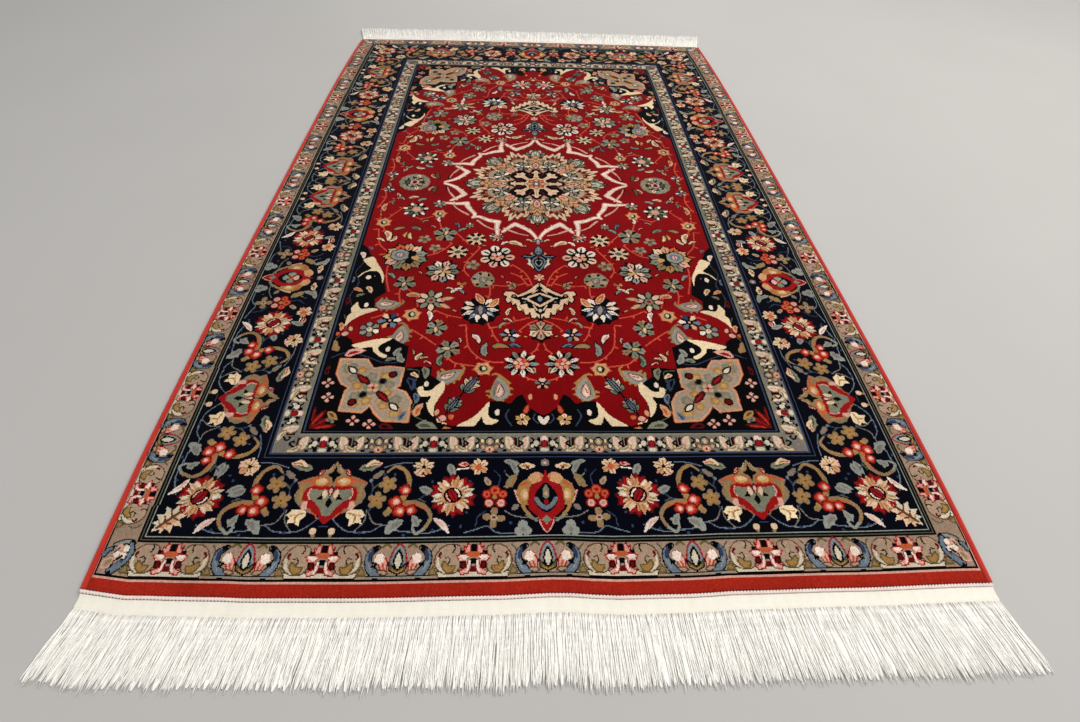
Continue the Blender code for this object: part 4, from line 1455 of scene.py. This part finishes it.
def make_pile(chart, material):
    """The clipped pile, in blocks that meet edge to edge."""
    draw = np.random.default_rng(5)
    across = np.linspace(-PILE_REACH, PILE_REACH, PILE_COLUMNS + 1)[None, :]
    along = np.linspace(-1.0, 1.0, PILE_ROWS + 1)[:, None]
    colours = knot_colours(chart, PILE_COLUMNS, PILE_ROWS, 21)
    x, y = lay_out(across, along)
    height = CLOTH_THICKNESS + draw.normal(0.0, NAP, x.shape)
    waves = ripple(draw, y[:, 0], 0.03, NAP_WAVE)[:, None]
    height += waves * ripple(draw, across[0] * 0.5, 0.06, 1.0)[None, :]
    end_rim = np.minimum(1.0 - np.abs(along), END_RIM) / END_RIM
    side_rim = np.minimum(1.0 - np.abs(across) / PILE_REACH, SIDE_RIM) / SIDE_RIM
    height -= RIM_DIP * (1.0 - np.minimum(end_rim, side_rim)) ** 2
    row_cuts = [PILE_ROWS * band // BLOCKS_ALONG for band in range(BLOCKS_ALONG + 1)]
    column_cuts = [PILE_COLUMNS * strip // BLOCKS_ACROSS for strip in range(BLOCKS_ACROSS + 1)]
    blocks = []
    for band, (row, next_row) in enumerate(zip(row_cuts, row_cuts[1:]), 1):
        for strip, (column, next_column) in enumerate(zip(column_cuts, column_cuts[1:]), 1):
            part = (slice(row, next_row + 1), slice(column, next_column + 1))
            points = np.stack((x[part], y[part], height[part]), -1).reshape(-1, 3)
            rows, columns = next_row - row, next_column - column
            block = mesh_object(f"pile_{band}_{strip}", points, grid_faces(rows + 1, columns + 1),
                                material)
            colour_faces(block.data, colours[2 * row:2 * next_row, 2 * column:2 * next_column])
            add_uv(block.data, "OFBake", grid_uv(rows, columns, 1.0, 1.0))
            add_uv(block.data, "knots", grid_uv(rows, columns, rows, columns))
            blocks.append(block)
    return blocks


def make_foundation(chart, material):
    """The woven ground under the pile: a closed slab whose underside shows the pattern's back."""
    across = np.linspace(-PILE_REACH, PILE_REACH, BACK_COLUMNS + 1)[None, :]
    along = np.linspace(-1.0, 1.0, BACK_ROWS + 1)[:, None]
    x, y = lay_out(across, along)
    low = np.stack((x, y, np.zeros(x.shape)), -1).reshape(-1, 3)
    high = low + (0.0, 0.0, CLOTH_THICKNESS - RIM_DIP)
    underside = grid_faces(BACK_ROWS + 1, BACK_COLUMNS + 1)[:, ::-1]
    rim = grid_rim(BACK_ROWS, BACK_COLUMNS)
    above = len(low) + np.arange(len(rim))
    wall = np.stack((rim, np.roll(rim, -1), np.roll(above, -1), above), -1)
    points = np.vstack((low, high[rim]))
    slab = mesh_object("foundation", points, np.vstack((underside, wall)), material, False)
    work = bmesh.new()
    work.from_mesh(slab.data)
    work.verts.ensure_lookup_table()
    work.faces.new([work.verts[index] for index in above])
    work.to_mesh(slab.data)
    work.free()
    colours = knot_colours(chart, BACK_COLUMNS, BACK_ROWS, 22)
    colour_faces(slab.data, colours, spare=0.7 * linear(DYES["scarlet"]))
    add_uv(slab.data, "knots", grid_uv(BACK_ROWS, BACK_COLUMNS, BACK_ROWS, BACK_COLUMNS)[:, ::-1])
    return slab


# The overcast sides.
WRAP = 0.0023                 # one turn of the wool along the cord
WRAP_GROOVE = 0.09            # how far the wool sinks between its turns, as a share of its radius
WRAP_UNEVEN = 0.012
WRAP_WIDE = 1.05              # how much fuller the wool is than the part's solid, sideways and up
WRAP_HIGH = 1.06
SIDE_CLEARANCE = 0.0002


def make_selvedge(name, side, material):
    """Red wool wrapped closely round the edge cord of one long side."""
    steps, sides = 3, 10        # rings to a turn, and sides of a ring
    start, stop = float(end_line(-1, side * CORNER_X)), float(end_line(1, side * CORNER_X))
    count = int((stop - start) / WRAP) * steps + 1
    y = np.linspace(start, stop, count)
    draw = np.random.default_rng(31 + side)
    angle = 2.0 * math.pi * np.arange(sides) / sides
    turn = y[:, None] / WRAP - 0.5 * side * angle[None, :] / math.pi
    swell = 1.0 - WRAP_GROOVE * (0.5 + 0.5 * np.cos(2.0 * math.pi * turn))
    swell = swell + draw.normal(0.0, WRAP_UNEVEN, (count, 1))
    middle = side * (half_width(y) - 0.5 * SELVEDGE_WIDTH - SIDE_CLEARANCE)
    x = middle[:, None] + 0.5 * SELVEDGE_WIDTH * WRAP_WIDE * swell * np.cos(angle)
    lift = ripple(draw, y, 0.05, 0.00012)[:, None]
    z = np.maximum(0.5 * SELVEDGE_HEIGHT * (1.0 + WRAP_HIGH * swell * np.sin(angle)) + lift, 0.0)
    points = np.stack((x, np.broadcast_to(y[:, None], x.shape), z), -1).reshape(-1, 3)
    piece = mesh_object(name, points, tube_faces(count, sides), material)
    return cap_tubes(piece, [(0, count - 1, sides)])


def cap_tubes(piece, tubes):
    """Closes the two ends of each tube: first point's index, number of its last ring, and sides."""
    work = bmesh.new()
    work.from_mesh(piece.data)
    work.verts.ensure_lookup_table()
    for first, last, sides in tubes:
        work.faces.new([work.verts[first + side] for side in reversed(range(sides))])
        work.faces.new([work.verts[first + last * sides + side] for side in range(sides)])
    for face in work.faces:
        face.smooth = True
    bmesh.ops.recalc_face_normals(work, faces=work.faces)
    work.to_mesh(piece.data)
    work.free()
    return piece


# The twined end cords.
TWIST = 0.0075                # one turn of the cord
PLY_RADIUS = 0.00145
PLY_WIDE = 1.05               # a ply is a little wider than high
PLY_SWING = 0.0011            # how far a ply winds out from the cord's middle, sideways and up
PLY_LIFT = 0.0008
CORD_MIDDLE = 0.0032          # above the floor
CORD_TUCK = 0.0007            # towards the pile
CORD_INSET = 0.0006           # from the corners


def make_end_cord(name, end, material):
    """Two plies twisted round each other along one end of the pile."""
    steps, sides = 7, 5         # rings to a turn, and sides of a ring
    x_limit = CORNER_X - CORD_INSET
    count = int(2.0 * x_limit / TWIST * steps) + 1
    x = np.linspace(-x_limit, x_limit, count)
    y = end_line(end, x, GAP + 0.5 * END_CORD_WIDTH)
    points, faces, tubes = [], [], []
    for strand in range(2):
        phase = 2.0 * math.pi * (x / TWIST + 0.5 * strand)
        around = 2.0 * math.pi * np.arange(sides) / sides
        middle_y = y - CORD_TUCK * end + PLY_SWING * np.sin(phase)
        middle_z = CORD_MIDDLE + PLY_LIFT * np.cos(phase)
        ring_y = middle_y[:, None] + PLY_RADIUS * PLY_WIDE * np.cos(around)
        ring_z = middle_z[:, None] + PLY_RADIUS * np.sin(around)
        ring_x = np.broadcast_to(x[:, None], ring_y.shape)
        tubes.append((strand * count * sides, count - 1, sides))
        points.append(np.stack((ring_x, ring_y, ring_z), -1).reshape(-1, 3))
        faces.append(tube_faces(count, sides) + strand * count * sides)
    return cap_tubes(mesh_object(name, np.vstack(points), np.vstack(faces), material), tubes)


# The flat-woven end strips.
STRIP_TUCK = 0.0008           # how far a strip begins under the cord
STRIP_RAGGED = 0.0003         # how uneven its outer edge and its surface are
STRIP_UNEVEN = 0.00006
STRIP_DROP = 0.0002           # its surface lies that much under the part's solid
STRIP_RISE = 0.0012           # towards the cord
RIDGE = 0.0005                # height of the ridge, and depth of the groove, near its outer edge
RIDGE_PLACE = 0.78            # places and half widths of both, as shares of the strip's depth
RIDGE_REACH = 0.09
GROOVE_PLACE = 0.94
GROOVE_REACH = 0.05
RIB = 0.00012                 # the height of its fine ribs, and their wavelength over two pi
RIB_STEP = 0.0021


def make_end_weave(name, end, material):
    """The flat-woven strip between the end cord and the fringe: a closed sheet with a ribbed surface."""
    columns, rows = 700, 11     # of the grid on top
    reach = CORNER_X - STRIP_SIDE_INSET
    draw = np.random.default_rng(41 + end)
    x = np.linspace(-reach, reach, columns + 1)
    share = np.linspace(0.0, 1.0, rows + 1)[:, None]
    ragged = (share == 1.0) * draw.normal(0.0, STRIP_RAGGED, columns + 1)
    out = 2.0 * GAP + END_CORD_WIDTH - STRIP_TUCK + (STRIP_DEPTH + STRIP_TUCK) * share + ragged
    y = end_line(end, x, out)
    z = STRIP_HEIGHT - STRIP_DROP + draw.normal(0.0, STRIP_UNEVEN, y.shape)
    z = z + STRIP_RISE * (1.0 - share) ** 8
    z += RIDGE * np.exp(-((share - RIDGE_PLACE) / RIDGE_REACH) ** 2) + RIB * np.sin(x / RIB_STEP)
    z -= RIDGE * np.exp(-((share - GROOVE_PLACE) / GROOVE_REACH) ** 2)
    top = np.stack((np.broadcast_to(x, y.shape), y, z), -1).reshape(-1, 3)
    under = top * (1.0, 1.0, 0.0)
    faces = grid_faces(rows + 1, columns + 1)
    rim = grid_rim(rows, columns)
    after = np.roll(rim, -1)
    wall = np.stack((after, rim, rim + len(top), after + len(top)), -1)
    faces = np.vstack((faces, faces[:, ::-1] + len(top), wall))
    return mesh_object(name, np.vstack((top, under)), faces, material)


# The fringes.
YARN_COUNT = 1150             # at each end of the rug
YARN_RADII = (0.00062, 0.00085)
YARN_WIDE = 1.3               # a yarn's section against its radius, sideways and up
YARN_HIGH = 0.55
YARN_TWIST = 4.0              # how far its section turns along it, in radians
YARN_TUCK = 0.0012            # how far yarns and locks begin inside the strip
LOCK_TUCK = 0.0010
YARN_INSET = 0.0006
YARN_BANDS = ((0.05, 0.0016), (0.012, 0.0012))      # length and height of the waves in the yarns' length
YARN_SHORTER = (-0.0010, 0.0028)                    # mean and spread of single yarns' length
LONGEST_YARN = STRAND_LENGTH + 0.0055
NEAR_RIGHT_EXTRA = 0.0055     # what the near fringe gains in length at the right corner
LOCK_LEAN = 0.014             # how unevenly locks and single yarns lean
YARN_LEAN = 0.022
BED_LEAN = 0.012
YARN_BOW = 0.0008             # how far a yarn bows and quivers sideways
YARN_QUIVER = 0.0004
YARN_LAYER = 0.0004           # how high yarns lie over each other
ROOT_RISE = 0.0006            # how much higher they lie just outside the strip
BED_HEIGHT = 0.0015           # of the locks, under the yarns
LOCK_PULL = 0.11              # how far a lock's yarns draw together along it at most, and at its root
ROOT_PULL = 0.22
LOCK_LENGTHS = (0.93, 0.985)  # shares of a strand's length
SLIM_LOCKS = 0.12             # share of slimmer locks, and how slim they are
SLIM = 0.88
LOCK_HEIGHT = 0.0016
# A lock's section, in its half widths and heights.
LOCK_ACROSS = (-1.0, -0.98, -0.6, -0.2, 0.2, 0.6, 0.98, 1.0)
LOCK_UP = (0.0, 0.8, 1.0, 0.9, 1.05, 0.9, 0.8, 0.0)


def fan_out(root):
    """How far each yarn runs sideways for each metre of its length, by where its root is."""
    return FAN_SLOPE * root / CORNER_X


def longer(end, root):
    """How much longer the near fringe hangs out towards the right corner; nothing at the far end."""
    extra = NEAR_RIGHT_EXTRA if end < 0 else 0.0
    return extra * (0.5 + 0.5 * root / CORNER_X) ** 2


def make_fringe_bed(end, draw, loft):
    """Flat locks under the yarns: one for each strand of the part's source."""
    rings, sides = 10, len(LOCK_ACROSS)
    reach = CORNER_X - STRIP_SIDE_INSET
    root = ((np.arange(STRAND_COUNT) + 0.5) / STRAND_COUNT * 2.0 - 1.0) * reach
    length = STRAND_LENGTH * draw.uniform(*LOCK_LENGTHS, STRAND_COUNT) + longer(end, root)
    along = np.linspace(0.0, 1.0, rings)
    lean = fan_out(root) + draw.normal(0.0, BED_LEAN, STRAND_COUNT)
    middle = root[:, None] + lean[:, None] * length[:, None] * along
    start = end_line(end, root, 2.0 * GAP + END_CORD_WIDTH + STRIP_DEPTH - LOCK_TUCK)
    y = start[:, None] + end * length[:, None] * along
    half = reach / STRAND_COUNT * (1.16 - 0.06 * along - 0.85 * along ** 9)
    half = half * np.where(draw.random(STRAND_COUNT) < SLIM_LOCKS, SLIM, 1.0)[:, None]
    slimmer = 0.18 * draw.integers(0, 2, (STRAND_COUNT, 1))
    half -= reach / STRAND_COUNT * slimmer * np.exp(-(along / 0.08) ** 2)
    x = middle[..., None] + half[..., None] * LOCK_ACROSS
    swell = 1.0 - 0.3 * along ** 2 + 450.0 * loft * draw.uniform(0.6, 1.0, (STRAND_COUNT, 1)) * along
    z = LOCK_HEIGHT * np.array(LOCK_UP) * swell[..., None]
    points = np.stack((x, np.broadcast_to(y[..., None], x.shape), z), -1)
    return points.reshape(-1, 3), rings, sides, STRAND_COUNT


def make_fringe_yarns(end, draw, loft):
    """Single yarns, drawn together a little in each lock, with ragged tips that stand up by about loft."""
    yarns, sides, rings = YARN_COUNT, 3, 12
    reach = CORNER_X - STRIP_SIDE_INSET - YARN_INSET
    root = 0.3 * np.sort(draw.uniform(-reach, reach, yarns)) + 0.7 * np.linspace(-reach, reach, yarns)
    lock = ((root / reach + 1.0) * 0.5 * STRAND_COUNT).astype(int).clip(0, STRAND_COUNT - 1)
    lock_root = ((lock + 0.5) / STRAND_COUNT * 2.0 - 1.0) * reach
    pull = draw.uniform(0.0, LOCK_PULL, STRAND_COUNT)[lock]
    lean = fan_out(root) + draw.normal(0.0, LOCK_LEAN, STRAND_COUNT)[lock]
    lean = lean + draw.normal(0.0, YARN_LEAN, yarns)
    length = STRAND_LENGTH
    for band in YARN_BANDS:
        length = length + ripple(draw, root, *band)
    length = np.minimum(length + draw.normal(*YARN_SHORTER, yarns), LONGEST_YARN)
    length = (length + longer(end, root))[:, None]
    along = np.linspace(0.0, 1.0, rings)
    bow = draw.normal(0.0, YARN_BOW, yarns)[:, None]
    x = root[:, None] + lean[:, None] * length * along
    x += (pull * (lock_root - root))[:, None] * np.sin(0.5 * math.pi * along)
    x += ROOT_PULL * (lock_root - root)[:, None] * np.exp(-(along / 0.10) ** 2)
    quiver = draw.normal(0.0, YARN_QUIVER, (yarns, 1))
    x += bow * np.sin(math.pi * along) + quiver * np.sin(3.0 * math.pi * along)
    start = end_line(end, root, 2.0 * GAP + END_CORD_WIDTH + STRIP_DEPTH - YARN_TUCK)[:, None]
    y = start + end * length * along
    radius = draw.uniform(*YARN_RADII, yarns)[:, None] * (1.0 - 0.72 * along ** 7)
    layer = draw.uniform(0.0, YARN_LAYER, yarns)[:, None]
    bed = BED_HEIGHT * (1.0 - along ** 8) + 0.7 * loft * along
    z = np.maximum(bed + layer * (1.0 - 0.6 * along) + 0.4 * radius, radius)
    rise = 0.4 * loft * draw.random((yarns, 1))
    z += ROOT_RISE * np.exp(-((along - 0.10) / 0.10) ** 2) + rise * along ** 1.5
    around = 2.0 * math.pi * np.arange(sides) / sides + draw.uniform(0.0, 6.28, yarns)[:, None, None]
    around = around + YARN_TWIST * along[:, None]
    ring_x = x[..., None] + radius[..., None] * YARN_WIDE * np.cos(around)
    ring_z = np.maximum(z[..., None] + radius[..., None] * YARN_HIGH * np.sin(around), 0.0)
    points = np.stack((ring_x, np.broadcast_to(y[..., None], ring_x.shape), ring_z), -1)
    return points.reshape(-1, 3), rings, sides, yarns


def make_fringe(name, end, material, seed, loft):
    """The warp ends that stand out of the strip, fanning towards the corners."""
    draw = np.random.default_rng(seed)
    points, faces, tones, tubes, used = [], [], [], [], 0
    for part in (make_fringe_bed(end, draw, loft), make_fringe_yarns(end, draw, loft)):
        part_points, rings, sides, count = part
        firsts = used + np.arange(count) * rings * sides
        points.append(part_points)
        faces.append((tube_faces(rings, sides) + firsts[:, None, None]).reshape(-1, 4))
        tones.append(np.repeat(draw.normal(0.0, 1.0, count), rings * sides))
        tubes += [(first, rings - 1, sides) for first in firsts.tolist()]
        used += len(part_points)
    piece = mesh_object(name, np.vstack(points), np.vstack(faces), material)
    tone = np.concatenate(tones).astype(np.float32)
    piece.data.attributes.new("tone", "FLOAT", "POINT").data.foreach_set("value", tone)
    return cap_tubes(piece, tubes)


# Materials -------------------------------------------------------------------------------------------
WARP_STEP = 0.0014            # the ribs of the flat-woven strips
WEFT_STEP = 0.0016


class Nodes:
    """Adds nodes to a material and joins them up."""

    def __init__(self, name, roughness, specular, sheen=0.0):
        self.material = bpy.data.materials.new(name)
        self.material.use_nodes = True
        self.tree = self.material.node_tree
        self.shader = self.tree.nodes["Principled BSDF"]
        self.shader.inputs["Roughness"].default_value = roughness
        self.shader.inputs["Sheen Weight"].default_value = sheen
        self.shader.inputs["Sheen Roughness"].default_value = 0.5
        self.shader.inputs["Specular IOR Level"].default_value = specular

    def add(self, kind, values, **settings):
        """A node, whose inputs take numbers or other nodes' outputs."""
        node = self.tree.nodes.new(kind)
        for key, value in settings.items():
            setattr(node, key, value)
        for socket, value in values.items():
            if hasattr(value, "links"):
                self.tree.links.new(value, node.inputs[socket])
            else:
                node.inputs[socket].default_value = value
        return node

    def here(self):
        """The place on the piece, in metres."""
        return self.add("ShaderNodeTexCoord", {}).outputs["Object"]

    def math(self, operation, *values):
        """One step of arithmetic on numbers or other nodes' outputs."""
        return self.add("ShaderNodeMath", dict(enumerate(values)), operation=operation).outputs[0]

    def wave(self, value, turns):
        """A sine wave with that many turns to each unit."""
        return self.math("SINE", self.math("MULTIPLY", value, 2.0 * math.pi * turns))

    def mix(self, share, first, second):
        """A blend of two colours."""
        values = {0: share, 6: first, 7: second}
        return self.add("ShaderNodeMix", values, data_type="RGBA").outputs[2]

    def tint(self, colour, share, factor):
        """A colour multiplied by a grey value, by that share."""
        grey = self.add("ShaderNodeCombineColor", {0: factor, 1: factor, 2: factor}).outputs[0]
        values = {0: share, 6: colour, 7: grey}
        return self.add("ShaderNodeMix", values, data_type="RGBA", blend_type="MULTIPLY").outputs[2]

    def noise(self, scale, detail, where):
        """Soft random grey, finer with a larger scale."""
        values = {"Scale": scale, "Detail": detail, "Vector": where}
        return self.add("ShaderNodeTexNoise", values).outputs["Fac"]

    def bump(self, height, strength, distance):
        """A relief from grey heights."""
        values = {"Height": height, "Strength": strength, "Distance": distance}
        return self.add("ShaderNodeBump", values).outputs["Normal"]

    def finish(self, colour, normal=None):
        """The material, with its colour and relief joined to the shader."""
        self.tree.links.new(colour, self.shader.inputs["Base Color"])
        if normal:
            self.tree.links.new(normal, self.shader.inputs["Normal"])
        return self.material


def opaque(colour):
    """A colour in light, as a node takes it, from its look in daylight."""
    return (*linear(colour), 1.0)


def knot_material(name, relief, wash):
    """Colour from the knots of each face, with the relief of the knots and fibres."""
    nodes = Nodes(name, roughness=1.0, sheen=0.03, specular=0.01)
    place = nodes.add("ShaderNodeUVMap", {}, uv_map="knots").outputs[0]
    split = nodes.add("ShaderNodeSeparateXYZ", {0: place})
    u, v = split.outputs[0], split.outputs[1]
    right = nodes.math("GREATER_THAN", nodes.math("FRACT", u), 0.5)
    upper = nodes.math("GREATER_THAN", nodes.math("FRACT", v), 0.5)
    knot = {}
    for label in ("00", "10", "01", "11"):        # the knot's column and row on its face
        knot[label] = nodes.add("ShaderNodeAttribute", {},
                                attribute_name=f"knot_{label}").outputs["Color"]
    low = nodes.mix(right, knot["00"], knot["10"])
    high = nodes.mix(right, knot["01"], knot["11"])
    colour = nodes.mix(upper, low, high)
    here = nodes.here()
    fibres = nodes.noise(900.0, 2.0, here)
    patches = nodes.noise(14.0, 3.0, here)
    shade = nodes.math("ADD", nodes.math("MULTIPLY", fibres, 0.5), nodes.math("MULTIPLY", patches, 0.35))
    colour = nodes.tint(colour, 1.0, nodes.math("ADD", shade, wash))
    ridges = nodes.math("ABSOLUTE", nodes.wave(v, 1.0))
    files = nodes.math("ABSOLUTE", nodes.wave(u, 1.0))
    height = nodes.math("ADD", nodes.math("MULTIPLY", ridges, 0.5), nodes.math("MULTIPLY", files, 0.3))
    height = nodes.math("ADD", height, fibres)
    return nodes.finish(colour, nodes.bump(height, relief, 0.0006))


def wool_material(name):
    """Red overcasting wool."""
    nodes = Nodes(name, roughness=0.9, sheen=0.2, specular=0.2)
    here = nodes.here()
    patches = nodes.noise(30.0, 3.0, here)
    fibres = nodes.noise(1500.0, 2.0, here)
    colour = nodes.mix(patches, opaque((160, 28, 21)), opaque((194, 50, 30)))
    colour = nodes.tint(colour, 0.6, nodes.math("ADD", fibres, 0.45))
    return nodes.finish(colour, nodes.bump(fibres, 0.5, 0.0004))


def yarn_material(name, light, dark, depth):
    """Undyed cotton yarn: per-yarn tone, fine fibres."""
    nodes = Nodes(name, roughness=0.9, sheen=0.3, specular=0.2)
    here = nodes.here()
    tone = nodes.add("ShaderNodeAttribute", {}, attribute_name="tone").outputs["Fac"]
    patches = nodes.noise(60.0, 3.0, here)
    share = nodes.math("ADD", nodes.math("MULTIPLY", tone, 0.16), patches)
    colour = nodes.mix(share, opaque(light), opaque(dark))
    fibres = nodes.noise(2200.0, 2.0, here)
    colour = nodes.tint(colour, depth, nodes.math("ADD", fibres, 0.5))
    return nodes.finish(colour, nodes.bump(fibres, 0.4, 0.0003))


def weave_material(name):
    """Plain white weave, in fine ribs both ways, with painted shade in the hollows between the ribs."""
    nodes = Nodes(name, roughness=0.92, sheen=0.1, specular=0.2)
    here = nodes.here()
    split = nodes.add("ShaderNodeSeparateXYZ", {0: here})
    warp = nodes.wave(split.outputs[0], 1.0 / WARP_STEP)
    weft = nodes.wave(split.outputs[1], 1.0 / WEFT_STEP)
    cells = nodes.math("MULTIPLY", warp, weft)
    patches = nodes.noise(40.0, 3.0, here)
    colour = nodes.mix(patches, opaque((250, 247, 236)), opaque((240, 234, 216)))
    # Painted shade: the colour dims with the same rib heights as the relief, darkest in the hollows.
    colour = nodes.tint(colour, 0.25, nodes.math("ADD", nodes.math("MULTIPLY", cells, 0.25), 0.8))
    return nodes.finish(colour, nodes.bump(cells, 0.6, 0.0003))


def floor_material():
    """A plain pale floor."""
    nodes = Nodes("floor_finish", roughness=0.75, specular=0.2)
    here = nodes.here()
    colour = nodes.mix(nodes.noise(3.0, 4.0, here), (0.42, 0.41, 0.395, 1.0), (0.45, 0.44, 0.425, 1.0))
    return nodes.finish(colour)


# Stage -----------------------------------------------------------------------------------------------
CAMERA_PLACE = (-0.0334, -1.0394, 0.6389)
CAMERA_LENS = 18.90           # on a sensor of this width, both in millimetres
SENSOR = 36.0
CAMERA_DOWN = 48.0987         # degrees below the horizon
CAMERA_YAW = 3.10396          # degrees to the right of the rug's long axis
CAMERA_ROLL = 2.543185
FLOOR_REACH = 6.0
FLOOR_DROP = 0.0001           # keeps the floor clear of the rug's underside
SKY = (0.96, 0.97, 1.0, 1.0)
SKY_STRENGTH = 0.52
LAMPS = (
    # name, place, target, size, power, colour
    ("window", (2.2, 0.2, 3.2), (0.25, 0.1, 0.0), (2.4, 2.0), 120.5, (1.0, 0.965, 0.91)),
    ("fill", (-1.6, -2.4, 3.9), (0.0, 0.2, 0.0), (2.4, 2.0), 38.0, (1.0, 0.98, 0.96)),
    ("far", (0.1, 1.8, 0.85), (0.05, 0.95, 0.0), (1.8, 0.5), 4.0, (1.0, 0.97, 0.93)),
)


def make_camera():
    """The photo's camera, from its place and three angles."""
    down, yaw, roll = (math.radians(value) for value in (CAMERA_DOWN, CAMERA_YAW, CAMERA_ROLL))
    ahead = Vector((math.sin(yaw) * math.cos(down), math.cos(yaw) * math.cos(down), -math.sin(down)))
    level = Vector((math.cos(yaw), -math.sin(yaw), 0.0))
    upright = level.cross(ahead)
    right = level * math.cos(roll) + upright * math.sin(roll)
    up = upright * math.cos(roll) - level * math.sin(roll)
    camera = bpy.data.objects.new("camera", bpy.data.cameras.new("camera"))
    camera.data.lens = CAMERA_LENS
    camera.data.sensor_width = SENSOR
    camera.data.clip_start = 0.01
    facing = Matrix((right, up, -ahead)).transposed().to_4x4()
    camera.matrix_world = Matrix.Translation(CAMERA_PLACE) @ facing
    bpy.context.scene.collection.objects.link(camera)
    bpy.context.scene.camera = camera


def add_light(name, place, target, size, power, colour):
    """A soft lamp that faces its target."""
    light = bpy.data.lights.new(name, "AREA")
    light.shape = "RECTANGLE"
    light.size, light.size_y = size
    light.energy = power
    light.color = colour
    lamp = bpy.data.objects.new(name, light)
    lamp.location = place
    lamp.rotation_mode = "QUATERNION"
    lamp.rotation_quaternion = (Vector(target) - Vector(place)).to_track_quat("-Z", "Y")
    bpy.context.scene.collection.objects.link(lamp)


def make_stage():
    """The floor, the pale surroundings and the lamps."""
    corners = np.array([(-1, -1, 0), (1, -1, 0), (1, 1, 0), (-1, 1, 0)]) * FLOOR_REACH
    corners = corners - (0, 0, FLOOR_DROP)
    mesh_object("floor", corners, np.array([[0, 1, 2, 3]]), floor_material(), False)
    world = bpy.data.worlds.new("room")
    world.use_nodes = True
    world.node_tree.nodes["Background"].inputs["Color"].default_value = SKY
    world.node_tree.nodes["Background"].inputs["Strength"].default_value = SKY_STRENGTH
    bpy.context.scene.world = world
    for lamp in LAMPS:
        add_light(*lamp)
    bpy.context.scene.view_settings.view_transform = "Standard"


def main():
    """Makes every piece, hides the parts of the model that it replaces, and joins it to its body."""
    make_camera()
    make_stage()
    chart = quarter_chart()
    pile = make_pile(chart, knot_material("wool_pile_finish", 0.55, 0.315))
    foundation = make_foundation(chart, knot_material("rug_back_finish", 0.8, 0.42))
    wool = wool_material("overcast_wool_finish")
    twine = yarn_material("twined_cord_finish", (246, 232, 222), (216, 194, 190), 0.4)
    cotton = yarn_material("fringe_cotton_finish", (255, 253, 247), (250, 246, 237), 0.12)
    weave = weave_material("end_weave_finish")
    trims = []
    for side, word in ((-1, "left"), (1, "right")):
        piece = make_selvedge(f"overcast_{word}", side, wool)
        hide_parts(f"selvedge_{word}")
        trims.append(piece)
    for end, word, seed, loft in ((-1, "near", 51, 0.0014), (1, "far", 52, 0.0076)):
        cord = make_end_cord(f"twined_cord_{word}", end, twine)
        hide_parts(f"end_cord_{word}")
        strip = make_end_weave(f"end_weave_{word}", end, weave)
        yarns = make_fringe(f"fringe_yarns_{word}", end, cotton, seed, loft)
        for piece in (strip, yarns):
            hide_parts(f"fringe_{word}")
        trims += [cord, strip, yarns]
    for piece in [foundation] + pile:
        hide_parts("rug_cloth")
    for piece in [foundation] + pile + trims:
        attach(piece, "root")


main()
